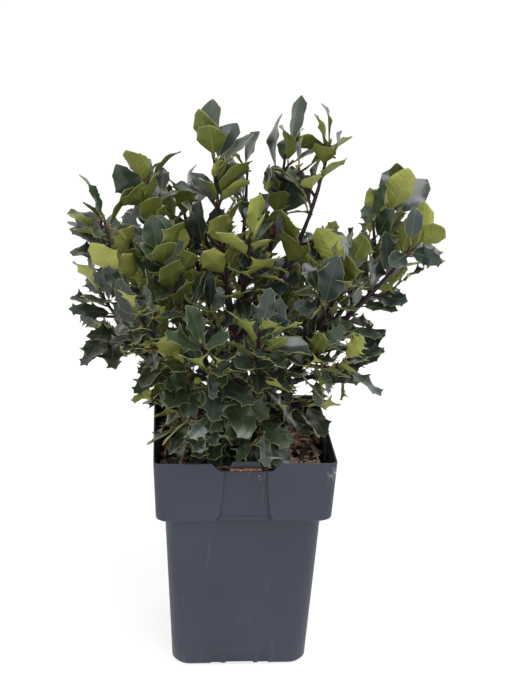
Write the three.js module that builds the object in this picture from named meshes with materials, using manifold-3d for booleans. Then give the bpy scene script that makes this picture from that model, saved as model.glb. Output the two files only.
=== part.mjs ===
// Young blue holly, a dense spiny-leaved evergreen shrub, in a square nursery pot.
// Millimetres. The origin is the middle of the pot's flat underside and +Z is up.
// +X runs to the plant's right and +Y from its front to its back.
import * as THREE from 'three';
import { mergeVertices } from 'three/addons/utils/BufferGeometryUtils.js';
import Module from 'manifold-3d';

const wasm = await Module();
wasm.setup();

// Sizes of the pot
const RIM_TOP = 200;
const COLLAR_FOOT = 147;
const COLLAR_DRAFT = 0.0406; // how far the collar leans out for each mm of height
const WALL = 1.5;
const FLOOR_TOP = 5;
const CORNER_STEPS = 3;
// Height, half width and corner radius of the outside and of the hollow.
const POT_OUTSIDE = [
  [0, 55.6, 13],
  [3, 58.2, 16],
  [143.5, 65.1, 12],
  [146, 70.6, 9],
  [148.5, 72.9, 8],
  [199, 75, 5],
  [RIM_TOP, 74.6, 5],
];
const POT_HOLLOW = [
  [FLOOR_TOP, 56.6, 14],
  [145, 63.6, 11],
  [149, 71.4, 7],
  [RIM_TOP, 73.5, 4],
];
const RECESS_HALF_TOP = 17.5; // the sunk field in the middle of each side of the collar
const RECESS_HALF_FOOT = 21.6;
const RECESS_TOP = 192;
const RECESS_PLANE = 69.9; // its distance from the middle, at the collar's foot
const RECESS_BELOW = 6;
const PANEL_CORNER = 5;
const DIP_FROM = 62; // cuts at a side run from here
const CUT_TO = 82; // to here, past the pot's outside
const DIP_DEPTH = 6.8; // the rim is lower in the middle of the front and the back
const DIP_HALF = 21;
const DIP_HALF_TOP = 28.5;
const BRACKET = { half: 13.3, inner: 69.2, outer: 71, foot: 178 }; // the front's label holder
const DRAIN_AT = 19.5; // the channels and holes of the underside
const DRAIN_WIDTH = 11;
const DRAIN_DEPTH = 3;
const DRAIN_HOLE = 4;
const HOLE_SIDES = 8;

// Sizes of the root ball and the wood
const GAP = 0.3; // between pieces that meet
const SLACK = 0.05; // more of it at a slanting seat
const SOIL_TOP = 175;
const SOIL_RINGS = [66, 49, 31]; // half widths of the lumpy part of the surface
const SOIL_LUMP = 2.6;
const SOIL_FLAT_HALF = 15;
const TRUNK_TOP = new THREE.Vector3(2, 3, 244);
const TRUNK_RADII = [8, 5.4];
const TRUNK_SIDES = 12;
const FLARE_HEIGHT = 11;
const FLARE_RADIUS = 4.5;
const FLARE_LOBES = 3;
const BOUGH_SHARE = 0.38; // of a limb's length, the rest is its mass's stem
const SIDE_BOUGH_SHARE = 0.2; // the same for a limb that leaves another
const STEM_TIP_RADIUS = 1.1;
const START_SUNK = 3; // the leader starts this far down in the trunk, before its seat is cut
const TIP_REST = 32; // the last leaves reach this far past the end of their stem
const LIMB_STEP = 22; // between the rings of a limb
const CURVE_POINTS = 40;
const BOUGH_SIDES = 5;
const STEM_SIDES = 4;

// Sizes of the twigs and leaves
const GOLDEN_TURN = 137.5;
const LEAF_TURN = 144;
const TWIG_STEP = 22;
const TWIG_RADII = [1.5, 1.2, 0.9];
const TWIG_SIDES = 3;
const TWIG_SPREAD = [40, 54]; // degrees off the stem, least and most
const TWIG_LENGTH = [26, 46];
const TWIG_TRIES = [1, 0.6]; // shares of that length
const TWIG_RISE = 0.3; // how far the outer half of a twig turns up
const FIRST_LEAF = 9; // from the start of a mass's stem
const FIRST_LEAF_ON_SHOOT = 30;
const FIRST_LEAF_ON_TWIG = 11;
const LEAF_STEP = 11.5;
const LEAF_LENGTH = 45;
const LEAF_WIDTH = 30;
const LEAF_THICKNESS = 1.4; // in the middle, from which it thins to the edge
const LEAF_SUNK = 0.6; // how far a leaf's foot lies past the middle of its stem
const LEAF_SPREAD = [56, 40]; // degrees off the stem, at its start and its end
const LEAF_SIZE = [0.86, 1.1];
const END_LEAVES = 3; // at the end of each stem and twig
const END_STEP = 3;
const END_SPREAD = 12;
const END_SPREAD_STEP = 16;
const END_SIZE = [0.9, 1.05];
const FACE_UP = 0.35; // how far a blade's upper face turns from the stem's tip to the sky
const LEAF_CLEAR = 2.4; // from a leaf to any limb that isn't its own
const LEAF_ROLL = 55; // how far a blade may be rolled about its own length, in degrees
const LEAF_APART = 14.5; // between the middles of two leaves
const LEAF_TURNS = [0, 45, -45, 90, -90];
const LEAF_SPREADS = [1, 0.6];
const LEAF_SHARES = [1, 0.86, 0.72];
const BEYOND = 6; // how far a leaf may pass the reach and top of its row
const LEAST_REACH = 58; // what "reach" counts as in that, near the middle
const FROM_STEM = 34; // the farthest that a leaf goes from its mass's stem
const TWIG_CLEAR = 1.2;
const TWIG_TOUCH = 0.5; // from a leaf to another twig of its mass
const STEM_TOUCH = 2; // from a twig's leaf to the middle of the stem
const SLIVER = 0.1; // edges shorter than this are merged
const SPACE_MARGIN = 0.4; // from a mass to the wall of its space
const RIM_CLEAR = 2;
// Half of the blade's edge from the stalk to the tip: share of the length, share of the
// width, and lift as a share of the length.
const LEAF_EDGE = [
  [0.3, 0.5, 0.07],
  [0.47, 0.33, -0.01],
  [0.69, 0.45, 0.06],
];
const LEAF_TIP_LIFT = -0.06;
const LEAF_HEART = [0.42, 0, -0.03];

// Colours
const POT_COLOUR = 0x4e525d;
const SOIL_COLOUR = 0x655148;
const BARK_COLOUR = 0x2b2226;
const LEAF_COLOURS = [0x3f4d38, 0x55642f, 0x36433a];

// The crown: each row is a limb and the mass of foliage that it carries. "from" is what it
// leaves and "at" how far along that, "side" is its bearing in degrees from +X through +Y,
// and "reach" and "top" place its furthest leaves. "thick" is its radius where it starts,
// "bow" how far it leans out before it turns up, and "droop" how far its leaves hang. A row
// with no bough is foliage down to the trunk.
const USUAL = { from: 'trunk', thick: 2.4, bow: 0.16, droop: 0.08, bough: true };
const LEANING = { thick: 2.6, bow: 0.27 };
const CORE = { bough: false, bow: 0.25 };
const LOW = { bough: false, droop: 0.35 };
const HANGING = { bough: false, droop: 0.45 };
const CROWN = [
  { name: 'top_left', at: 1, side: 179, reach: 30, top: 474, thick: 4.2 },
  { name: 'outer_right', at: 0.5, side: -15, reach: 160, top: 401, thick: 4.2, bow: 0.03 },
  { name: 'high_left', at: 0.8, side: 163, reach: 96, top: 439, thick: 3.8 },
  { name: 'mid_left', at: 0.52, side: 167, reach: 142, top: 338, thick: 3.8 },
  { name: 'inner_right', at: 0.72, side: -34, reach: 108, top: 391, thick: 3.6 },
  { name: 'back_centre', at: 0.7, side: 99, reach: 128, top: 402, thick: 3.8 },
  { name: 'back_left', at: 0.62, side: 135, reach: 143, top: 365, thick: 3.4 },
  { name: 'back_right', at: 0.6, side: 51, reach: 135, top: 362, thick: 3.6 },
  { name: 'front_left', at: 0.6, side: 213, reach: 120, top: 352, thick: 3.4 },
  { name: 'front_centre', at: 0.5, side: 244, reach: 101, top: 334, thick: 3.2 },
  { name: 'front_right', at: 0.6, side: 275, reach: 97, top: 351, thick: 3.2 },
  { name: 'top_right', from: 'top_left', at: 0.16, side: 29, reach: 40, top: 478, ...LEANING, thick: 3.2 },
  { name: 'far_right_top', from: 'top_left', at: 0.25, side: -8, reach: 70, top: 482, ...LEANING },
  { name: 'high_right', from: 'outer_right', at: 0.24, side: 2, reach: 134, top: 430, thick: 2.8 },
  { name: 'low_right', from: 'outer_right', at: 0.2, side: -9, reach: 128, top: 291, thick: 2.8 },
  { name: 'mid_right', from: 'inner_right', at: 0.24, side: -51, reach: 110, top: 324, thick: 2.6 },
  { name: 'far_left', from: 'high_left', at: 0.27, side: 177, reach: 145, top: 417, thick: 2.8 },
  { name: 'inner_left', from: 'high_left', at: 0.17, side: 200, reach: 83, top: 391, thick: 2.6 },
  { name: 'shoulder_left', from: 'back_centre', at: 0.2, side: 135, reach: 82, top: 421, thick: 2.6 },
  { name: 'low_left', from: 'mid_left', at: 0.24, side: 162, reach: 142, top: 303, thick: 2.6 },
  { name: 'centre', from: 'top_left', at: 0.3, side: 277, reach: 38, top: 402, ...LEANING },
  { name: 'back_top', from: 'back_centre', at: 0.27, side: 85, reach: 60, top: 458, thick: 2.8 },
  { name: 'core_left', at: 0.88, side: 223, reach: 44, top: 346, ...CORE },
  { name: 'core_right', at: 0.9, side: 25, reach: 50, top: 356, ...CORE },
  { name: 'bottom_left', at: 0.28, side: 160, reach: 93, top: 250, ...LOW },
  { name: 'bottom_right', at: 0.3, side: -12, reach: 81, top: 256, ...LOW },
  { name: 'front_low_left', at: 0.32, side: 236, reach: 107, top: 261, ...HANGING },
  { name: 'front_low_right', at: 0.27, side: 282, reach: 97, top: 248, ...HANGING },
  { name: 'back_low_left', at: 0.3, side: 124, reach: 124, top: 263, ...LOW },
  { name: 'back_low_right', at: 0.34, side: 60, reach: 129, top: 267, ...LOW },
].map((row) => ({ ...USUAL, ...row }));

const radians = THREE.MathUtils.degToRad;
const UP = new THREE.Vector3(0, 0, 1);

const between = ([first, last], share) => first + (last - first) * share;

// A stream of numbers from 0 to 1, the same on every run.
function numbersFrom(seed) {
  let state = seed * 7919 + 12345;
  return () => {
    state = (state * 1664525 + 1013904223) % 4294967296;
    return state / 4294967296;
  };
}

function solidFromFaces(points, faces) {
  const vertProperties = new Float32Array(points.flatMap((p) => [p.x, p.y, p.z]));
  const triVerts = new Uint32Array(faces.flat());
  return new wasm.Manifold(new wasm.Mesh({ numProp: 3, vertProperties, triVerts }));
}

function solidFromGeometry(geometry) {
  geometry.deleteAttribute('normal');
  geometry.deleteAttribute('uv');
  const merged = mergeVertices(geometry, 1e-4);
  return new wasm.Manifold(
    new wasm.Mesh({
      numProp: 3,
      vertProperties: merged.attributes.position.array,
      triVerts: new Uint32Array(merged.index.array),
    }),
  );
}

// Skins a row of rings with the same count of points, which run anticlockwise as the next
// ring sees them, and closes both ends.
function loft(rings) {
  const count = rings[0].length;
  const faces = [];
  for (let r = 0; r + 1 < rings.length; r += 1) {
    for (let i = 0; i < count; i += 1) {
      const next = (i + 1) % count;
      const a = r * count + i;
      const b = r * count + next;
      faces.push([a, b, b + count], [a, b + count, a + count]);
    }
  }
  const last = (rings.length - 1) * count;
  for (let i = 1; i + 1 < count; i += 1) {
    faces.push([0, i + 1, i], [last, last + i, last + i + 1]);
  }
  return solidFromFaces(rings.flat(), faces);
}

function box(x0, x1, y0, y1, z0, z1) {
  const geometry = new THREE.BoxGeometry(x1 - x0, y1 - y0, z1 - z0);
  geometry.translate((x0 + x1) / 2, (y0 + y1) / 2, (z0 + z1) / 2);
  return solidFromGeometry(geometry);
}

// The pot

function squareRing(half, corner, z) {
  const ring = [];
  for (let side = 0; side < 4; side += 1) {
    const cx = (side === 0 || side === 3 ? 1 : -1) * (half - corner);
    const cy = (side < 2 ? 1 : -1) * (half - corner);
    for (let i = 0; i <= CORNER_STEPS; i += 1) {
      const angle = radians(90 * (side + i / CORNER_STEPS));
      ring.push(new THREE.Vector3(cx + corner * Math.cos(angle), cy + corner * Math.sin(angle), z));
    }
  }
  return ring;
}

// A block on one side of the pot: an outline of [across, height] points, between two
// distances from the middle that grow with the height as the collar does.
function sideBlock(outline, inner, outer, side) {
  const shape = new THREE.Shape(outline.map(([x, z]) => new THREE.Vector2(x, z)));
  const geometry = new THREE.ExtrudeGeometry(shape, { depth: outer - inner, bevelEnabled: false });
  geometry.translate(0, 0, inner - COLLAR_DRAFT * COLLAR_FOOT);
  const stand = new THREE.Matrix4();
  stand.set(1, 0, 0, 0, 0, -COLLAR_DRAFT, -1, 0, 0, 1, 0, 0, 0, 0, 0, 1);
  geometry.applyMatrix4(stand);
  geometry.rotateZ(radians(90 * side));
  return solidFromGeometry(geometry);
}

// The sunk field between the two raised panels of a side, whose lower corners are round.
function recessOutline(grow) {
  const half = RECESS_HALF_FOOT + grow;
  const right = [[RECESS_HALF_TOP + grow, RECESS_TOP + grow]];
  for (let i = 0; i <= 2; i += 1) {
    const angle = radians(45 * i);
    right.push([
      half + PANEL_CORNER * (1 - Math.cos(angle)),
      COLLAR_FOOT + PANEL_CORNER * (1 - Math.sin(angle)),
    ]);
  }
  right.push([half + PANEL_CORNER, COLLAR_FOOT - RECESS_BELOW]);
  const left = right.map(([x, z]) => [-x, z]).reverse();
  return [...right.reverse(), ...left.reverse()];
}

function buildPot() {
  const outside = loft(POT_OUTSIDE.map(([z, half, corner]) => squareRing(half, corner, z)));
  const hollowRings = POT_HOLLOW.map(([z, half, corner]) => squareRing(half, corner, z));
  const [, topHalf, topCorner] = POT_HOLLOW.at(-1);
  hollowRings.push(squareRing(topHalf, topCorner, RIM_TOP + 5));
  let hollow = loft(hollowRings);
  const dip = [
    [-DIP_HALF, RIM_TOP - DIP_DEPTH],
    [DIP_HALF, RIM_TOP - DIP_DEPTH],
    [DIP_HALF_TOP, RIM_TOP + 0.5],
    [-DIP_HALF_TOP, RIM_TOP + 0.5],
  ];
  let pot = outside;
  for (let side = 0; side < 4; side += 1) {
    hollow = hollow.subtract(sideBlock(recessOutline(WALL), RECESS_PLANE - WALL, CUT_TO, side));
    pot = pot.subtract(sideBlock(recessOutline(0), RECESS_PLANE, CUT_TO, side));
    if (side % 2 === 0) pot = pot.subtract(sideBlock(dip, DIP_FROM, CUT_TO, side));
  }
  pot = pot.subtract(hollow);
  const { half, inner, outer, foot } = BRACKET;
  pot = pot.add(box(-half, half, -outer, -inner, foot, RIM_TOP));
  for (const at of [-DRAIN_AT, DRAIN_AT]) {
    const near = at - DRAIN_WIDTH / 2;
    const far = at + DRAIN_WIDTH / 2;
    pot = pot.subtract(box(near, far, -CUT_TO, CUT_TO, -1, DRAIN_DEPTH));
    pot = pot.subtract(box(-CUT_TO, CUT_TO, near, far, -1, DRAIN_DEPTH));
    for (const across of [-DRAIN_AT, DRAIN_AT]) {
      const hole = new THREE.CylinderGeometry(DRAIN_HOLE, DRAIN_HOLE, 4 * FLOOR_TOP, HOLE_SIDES);
      hole.rotateX(Math.PI / 2).translate(at, across, 0);
      pot = pot.subtract(solidFromGeometry(hole));
    }
  }
  return pot;
}

function buildRootBall() {
  const rings = POT_HOLLOW.slice(0, -1).map(([z, half, corner]) =>
    squareRing(half - GAP, corner - GAP, z + GAP),
  );
  const [lowZ, lowHalf] = POT_HOLLOW.at(-2);
  const [highZ, highHalf] = POT_HOLLOW.at(-1);
  const share = (SOIL_TOP - lowZ) / (highZ - lowZ);
  const soilHalf = lowHalf + (highHalf - lowHalf) * share - GAP - 0.1;
  rings.push(squareRing(soilHalf, 5, SOIL_TOP - 2));
  const number = numbersFrom(5);
  for (const half of SOIL_RINGS) {
    const ring = squareRing(half, half / 4, SOIL_TOP);
    ring.forEach((p) => {
      p.z += (number() * 2 - 1) * SOIL_LUMP;
    });
    rings.push(ring);
  }
  rings.push(squareRing(SOIL_FLAT_HALF, SOIL_FLAT_HALF * 0.8, SOIL_TOP));
  let ball = loft(rings);
  for (let side = 0; side < 4; side += 1) {
    const keepOff = WALL + GAP + 0.1;
    ball = ball.subtract(sideBlock(recessOutline(keepOff), RECESS_PLANE - keepOff, CUT_TO, side));
  }
  return ball;
}

// Limbs: each is a path of points with a radius at each of them

function pathLength(path) {
  let length = 0;
  for (let i = 1; i < path.length; i += 1) length += path[i].distanceTo(path[i - 1]);
  return length;
}

// The point and the direction at a distance along a path.
function along(path, distance) {
  let left = distance;
  for (let i = 1; i < path.length; i += 1) {
    const step = path[i].distanceTo(path[i - 1]);
    if (left <= step || i === path.length - 1) {
      const heading = path[i].clone().sub(path[i - 1]).normalize();
      return { point: path[i - 1].clone().addScaledVector(heading, Math.min(left, step)), heading };
    }
    left -= step;
  }
  return null;
}

function cutPath(path, from, to) {
  const pieces = Math.max(2, Math.round((to - from) / LIMB_STEP));
  const cut = [];
  for (let i = 0; i <= pieces; i += 1) cut.push(along(path, from + ((to - from) * i) / pieces).point);
  return cut;
}

// Two directions at right angles to a heading.
function acrossOf(heading) {
  const seed = Math.abs(heading.z) < 0.9 ? UP : new THREE.Vector3(1, 0, 0);
  const first = new THREE.Vector3().crossVectors(seed, heading).normalize();
  return [first, new THREE.Vector3().crossVectors(heading, first)];
}

// A tube along a path. Its end faces look along "ends" where these are given.
function tube(path, radii, sides, ends = []) {
  const rings = [];
  const last = path.length - 1;
  let [first] = acrossOf(along(path, 0).heading);
  path.forEach((point, i) => {
    const chord = path[Math.min(i + 1, last)].clone().sub(path[Math.max(i - 1, 0)]).normalize();
    const heading = (i === 0 && ends[0]) || (i === last && ends[1]) || chord;
    first = first.clone().addScaledVector(heading, -first.dot(heading)).normalize();
    const second = new THREE.Vector3().crossVectors(heading, first);
    const ring = [];
    for (let k = 0; k < sides; k += 1) {
      const angle = (2 * Math.PI * k) / sides;
      const spoke = first.clone().multiplyScalar(radii[i] * Math.cos(angle));
      spoke.addScaledVector(second, radii[i] * Math.sin(angle));
      ring.push(spoke.add(point));
    }
    rings.push(ring);
  });
  return loft(rings);
}

const limbs = new Map(); // every length of wood, for seats and clearances
const wholeLimbs = new Map(); // what each row of the crown lays out, bough and stem in one

function addLimb(name, path, radii, sides, ends) {
  const limb = { name, path, radii, sides, ends };
  limbs.set(name, limb);
  return limb;
}

function limbSolid(limb, grow = 0) {
  return tube(limb.path, limb.radii.map((r) => r + grow), limb.sides, limb.ends);
}

// The trunk with its flare, or the same a little larger all round.
function trunkSolid(grow = 0) {
  const foot = new THREE.Vector3(0, 0, SOIL_TOP + GAP - grow);
  const top = TRUNK_TOP.z + grow - foot.z;
  const heights = [0, FLARE_HEIGHT * 0.3, FLARE_HEIGHT * 0.65, FLARE_HEIGHT, top * 0.4, top * 0.7, top];
  const rings = heights.map((h) => {
    const share = h / (TRUNK_TOP.z - foot.z);
    const middle = foot.clone().lerp(TRUNK_TOP, share);
    const flare = FLARE_RADIUS * (1 - Math.min(h / FLARE_HEIGHT, 1)) ** 2;
    const ring = [];
    for (let k = 0; k < TRUNK_SIDES; k += 1) {
      const angle = (2 * Math.PI * k) / TRUNK_SIDES;
      const lobe = 1 + Math.cos(FLARE_LOBES * angle);
      const radius = between(TRUNK_RADII, share) + (flare * lobe) / 2 + grow;
      const spoke = new THREE.Vector3(radius * Math.cos(angle), radius * Math.sin(angle), 0);
      ring.push(spoke.add(middle));
    }
    return ring;
  });
  return loft(rings);
}
const trunkPath = [new THREE.Vector3(0, 0, SOIL_TOP + GAP), TRUNK_TOP];
addLimb('trunk', trunkPath, TRUNK_RADII);
wholeLimbs.set('trunk', { path: trunkPath, length: pathLength(trunkPath) });

// Lays out a row of the crown: the limb's path from its fork to where its leaves begin.
function layLimb(row) {
  const carrier = wholeLimbs.get(row.from);
  const distance = Math.min(carrier.length * row.at, carrier.length - START_SUNK);
  const { point: start } = along(carrier.path, distance);
  const angle = radians(row.side);
  const tip = new THREE.Vector3(row.reach * Math.cos(angle), row.reach * Math.sin(angle), row.top);
  const bend = new THREE.Vector3(
    start.x + (tip.x - start.x) * (0.5 + row.bow),
    start.y + (tip.y - start.y) * (0.5 + row.bow),
    start.z + (tip.z - start.z) * (0.5 - row.bow),
  );
  const path = new THREE.QuadraticBezierCurve3(start, bend, tip).getPoints(CURVE_POINTS);
  const whole = { path, length: pathLength(path) - TIP_REST, row };
  wholeLimbs.set(row.name, whole);
  return whole;
}

function splitLimb(whole) {
  const { row, path, length } = whole;
  const radiusAt = (distance) => between([row.thick, STEM_TIP_RADIUS], distance / length);
  const partOf = (name, from, to, sides) => {
    const cut = cutPath(path, from, to);
    const radii = cut.map((_, i) => radiusAt(from + ((to - from) * i) / (cut.length - 1)));
    const ends = [along(path, from).heading, along(path, to).heading];
    return addLimb(name, cut, radii, sides, ends);
  };
  if (!row.bough) return { row, bough: null, stem: partOf(`stem_${row.name}`, 0, length, STEM_SIDES) };
  const fork = length * (row.from === 'trunk' ? BOUGH_SHARE : SIDE_BOUGH_SHARE);
  return {
    row,
    bough: partOf(`bough_${row.name}`, 0, fork, BOUGH_SIDES),
    stem: partOf(`stem_${row.name}`, fork + GAP, length, STEM_SIDES),
  };
}

// Cuts a limb's foot clear of what it leaves.
function seat(solid, row) {
  const grow = GAP + SLACK;
  if (row.from === 'trunk') return solid.subtract(trunkSolid(grow));
  return solid.subtract(limbSolid(limbs.get(`bough_${row.from}`), grow));
}

function distanceTo(path, point) {
  let least = Infinity;
  for (let i = 1; i < path.length; i += 1) {
    const line = new THREE.Line3(path[i - 1], path[i]);
    least = Math.min(least, line.closestPointToPoint(point, true, new THREE.Vector3()).distanceTo(point));
  }
  return least;
}

// Spaces: a mass holds the points that are nearer to its stem than to any other mass's,
// as far out and up as its row says

function inSpace(points, { row, own, others }) {
  const out = new THREE.Vector3(Math.cos(radians(row.side)), Math.sin(radians(row.side)), 0);
  const farthest = Math.max(row.reach, LEAST_REACH) + BEYOND;
  return points.every((p) => {
    if (p.dot(out) > farthest || p.z > row.top + BEYOND) return false;
    const toOwn = distanceTo(own, p);
    if (toOwn > FROM_STEM) return false;
    return others.every((other) => distanceTo(other, p) > toOwn + 2 * SPACE_MARGIN);
  });
}

function clearOfPot(points) {
  return points.every((p) => {
    const out = Math.max(Math.abs(p.x), Math.abs(p.y));
    return p.z > (out > POT_HOLLOW.at(-2)[1] - RIM_CLEAR ? RIM_TOP : SOIL_TOP) + RIM_CLEAR;
  });
}

function nearPath(points, path, distance) {
  return points.some((p) => distanceTo(path, p) < distance);
}

function clearOfLimbs(points, clearance, skip) {
  return [...limbs.values()].every(
    ({ name, path, radii }) =>
      skip.includes(name) || !nearPath(points, path, Math.max(...radii) + clearance),
  );
}

// Leaves and twigs

// A blade from its foot along "heading", its upper face towards "face".
function leafPoints(foot, heading, face, size) {
  const across = new THREE.Vector3().crossVectors(face, heading).normalize();
  const place = ([length, width, lift]) =>
    foot
      .clone()
      .addScaledVector(heading, length * LEAF_LENGTH * size)
      .addScaledVector(across, width * LEAF_WIDTH * size)
      .addScaledVector(face, lift * LEAF_LENGTH * size);
  const left = LEAF_EDGE.map(([length, width, lift]) => place([length, -width, lift]));
  const right = LEAF_EDGE.map(place).reverse();
  const edge = [place([0, 0, 0]), ...left, place([1, 0, LEAF_TIP_LIFT]), ...right];
  return { edge, heart: place(LEAF_HEART), face };
}

// Points spread over a blade, to test what it would touch.
function leafSamples({ edge, heart }) {
  const samples = [heart];
  for (const share of [1, 0.66, 0.33]) {
    edge.forEach((p, i) => {
      if (i > 0) samples.push(heart.clone().lerp(p, share));
    });
  }
  return samples;
}

function leafSolid({ edge, heart, face }) {
  const count = edge.length;
  const above = heart.clone().addScaledVector(face, LEAF_THICKNESS / 2);
  const below = heart.clone().addScaledVector(face, -LEAF_THICKNESS / 2);
  const faces = [];
  for (let i = 0; i < count; i += 1) {
    const next = (i + 1) % count;
    faces.push([i, next, count], [next, i, count + 1]);
  }
  return solidFromFaces([...edge, above, below], faces);
}

// Turns a heading away from a stem by "spread" degrees, at "turn" degrees round it.
function leaveStem(heading, turn, spread) {
  const [first, second] = acrossOf(heading);
  const out = first.clone().multiplyScalar(Math.cos(radians(turn)));
  out.addScaledVector(second, Math.sin(radians(turn)));
  const lean = heading.clone().multiplyScalar(Math.cos(radians(spread)));
  return lean.addScaledVector(out, Math.sin(radians(spread)));
}

function leafOn(point, heading, { turn, spread, roll, droop }, size) {
  const direction = leaveStem(heading, turn, spread);
  direction.z -= droop;
  direction.normalize();
  const face = heading.clone().addScaledVector(UP, FACE_UP + droop);
  face.addScaledVector(direction, -face.dot(direction)).normalize();
  face.applyAxisAngle(direction, radians(roll));
  return leafPoints(point.clone().addScaledVector(direction, -LEAF_SUNK), direction, face, size);
}

// Whether two blades pass through each other.
function bladesCross(one, two) {
  const ray = new THREE.Ray();
  const hit = new THREE.Vector3();
  const lines = ({ edge, heart }) =>
    edge.flatMap((p, i) => [
      [p, edge[(i + 1) % edge.length]],
      [p, heart],
    ]);
  const pierces = (a, b) =>
    lines(a).some(([from, to]) => {
      const length = from.distanceTo(to);
      ray.set(from, to.clone().sub(from).divideScalar(length));
      return b.edge.some((p, i) => {
        const next = b.edge[(i + 1) % b.edge.length];
        const found = ray.intersectTriangle(p, next, b.heart, false, hit);
        return found && hit.distanceTo(from) <= length;
      });
    });
  return pierces(one, two) || pierces(two, one);
}

// The sizes, spreads and turns that a leaf tries in turn until one of them fits.
function leafTries() {
  return LEAF_SHARES.flatMap((share) =>
    LEAF_SPREADS.flatMap((spread) => LEAF_TURNS.map((turn) => [share, spread, turn])),
  );
}

// Grows one mass on its stem: twigs first, then leaves in a spiral on stem and twigs.
function growMass({ row, stem }, space, seed) {
  const number = numbersFrom(seed);
  const skip = [stem.name];
  const near = (points, clearance, own) =>
    twigs.some((twig) => twig !== own && nearPath(points, twig, TWIG_RADII[0] + clearance));
  const length = pathLength(stem.path);
  const first = row.bough ? FIRST_LEAF : FIRST_LEAF_ON_SHOOT;
  const twigs = [];
  let turn = number() * 360;
  for (let s = first; s < length - 12; s += TWIG_STEP) {
    turn += GOLDEN_TURN;
    const spread = between(TWIG_SPREAD, number());
    const long = between(TWIG_LENGTH, number());
    const { point, heading } = along(stem.path, s);
    const direction = leaveStem(heading, turn, spread);
    const tipward = direction.clone().addScaledVector(UP, TWIG_RISE).normalize();
    for (const share of TWIG_TRIES) {
      const middle = point.clone().addScaledVector(direction, (long * share) / 2);
      const end = middle.clone().addScaledVector(tipward, (long * share) / 2);
      const path = [point, middle, end];
      const probes = [middle, end, middle.clone().lerp(end, 0.5), point.clone().lerp(middle, 0.7)];
      const clear = clearOfLimbs(probes, TWIG_CLEAR + TWIG_RADII[0], skip) && clearOfPot(probes);
      if (clear && inSpace(probes, space) && !near(probes, TWIG_CLEAR + TWIG_RADII[0])) {
        twigs.push(path);
        break;
      }
    }
  }
  const leaves = [];
  const bearing = new Set();
  const tryLeaf = (path, distance, leafTurn, spread, size) => {
    const roll = (2 * number() - 1) * LEAF_ROLL;
    const { point, heading } = along(path, distance);
    for (const [share, spreadShare, turnBy] of leafTries()) {
      const pose = { turn: leafTurn + turnBy, spread: spread * spreadShare, roll, droop: row.droop };
      const leaf = leafOn(point, heading, pose, size * share);
      const samples = leafSamples(leaf);
      const crowded = leaves.some((other) => other.heart.distanceTo(leaf.heart) < LEAF_APART);
      if (
        !crowded &&
        inSpace(samples, space) &&
        clearOfPot(samples) &&
        clearOfLimbs(samples, LEAF_CLEAR, skip) &&
        !near(samples, TWIG_TOUCH, path) &&
        (path === stem.path || !nearPath(samples, stem.path, STEM_TOUCH)) &&
        !leaves.some((other) => bladesCross(leaf, other))
      ) {
        leaves.push(leaf);
        bearing.add(path);
        return;
      }
    }
  };
  for (const path of [stem.path, ...twigs]) {
    const total = pathLength(path);
    let leafTurn = number() * 360;
    for (let s = path === stem.path ? first : FIRST_LEAF_ON_TWIG; s < total - 4; s += LEAF_STEP) {
      leafTurn += LEAF_TURN;
      tryLeaf(path, s, leafTurn, between(LEAF_SPREAD, s / total), between(LEAF_SIZE, number()));
    }
    for (let k = 0; k < END_LEAVES; k += 1) {
      leafTurn += LEAF_TURN;
      const spread = END_SPREAD + END_SPREAD_STEP * k;
      tryLeaf(path, total - 1 - END_STEP * k, leafTurn, spread, between(END_SIZE, number()));
    }
  }
  return { twigs: twigs.filter((twig) => bearing.has(twig)), leaves };
}

function massSolid({ row, stem }, { twigs, leaves }) {
  let solid = limbSolid(stem);
  for (const path of twigs) {
    solid = solid.add(tube(path, TWIG_RADII, TWIG_SIDES));
  }
  for (const leaf of leaves) solid = solid.add(leafSolid(leaf));
  if (!row.bough) solid = seat(solid, row);
  return largestBody(solid.simplify(SLIVER));
}

function largestBody(solid) {
  const bodies = solid.decompose();
  return bodies.reduce((best, body) => (body.volume() > best.volume() ? body : best));
}

// The finished pieces

const plant = new THREE.Group();
plant.name = 'potted_holly';

function place(name, solid, colour, roughness) {
  const { vertProperties, triVerts } = solid.getMesh();
  const geometry = new THREE.BufferGeometry();
  geometry.setAttribute('position', new THREE.BufferAttribute(vertProperties, 3));
  geometry.setIndex(new THREE.BufferAttribute(triVerts, 1));
  geometry.computeVertexNormals();
  const material = new THREE.MeshStandardMaterial({ color: colour, roughness, flatShading: true });
  const mesh = new THREE.Mesh(geometry, material);
  mesh.name = name;
  plant.add(mesh);
}

place('pot', buildPot(), POT_COLOUR, 0.55);
place('root_ball', buildRootBall(), SOIL_COLOUR, 0.95);
place('trunk', trunkSolid(), BARK_COLOUR, 0.8);

const wholes = CROWN.map(layLimb);
const grown = wholes.map(splitLimb);
grown.forEach(({ row, bough }) => {
  if (bough) place(bough.name, largestBody(seat(limbSolid(bough), row)), BARK_COLOUR, 0.7);
});
grown.forEach((limb, i) => {
  const others = grown.filter((other) => other !== limb).map((other) => other.stem.path);
  const space = { row: limb.row, own: limb.stem.path, others };
  const mass = growMass(limb, space, i + 1);
  const solid = massSolid(limb, mass);
  place(`foliage_${limb.row.name}`, solid, LEAF_COLOURS[i % LEAF_COLOURS.length], 0.45);
});

export default plant;
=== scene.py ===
# %% [markdown]
# # A young blue holly in its square nursery pot
#
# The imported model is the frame: a pot, its root ball, a short trunk, boughs and masses of
# foliage, all as plain faceted solids. This file dresses that frame. It works in three parts:
# the studio, the pot with its bark mulch, and the plant, which is grown again by the same rule
# as the solids but with real-size leaves and finer twigs.

# %% Load the frame
import math

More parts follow.
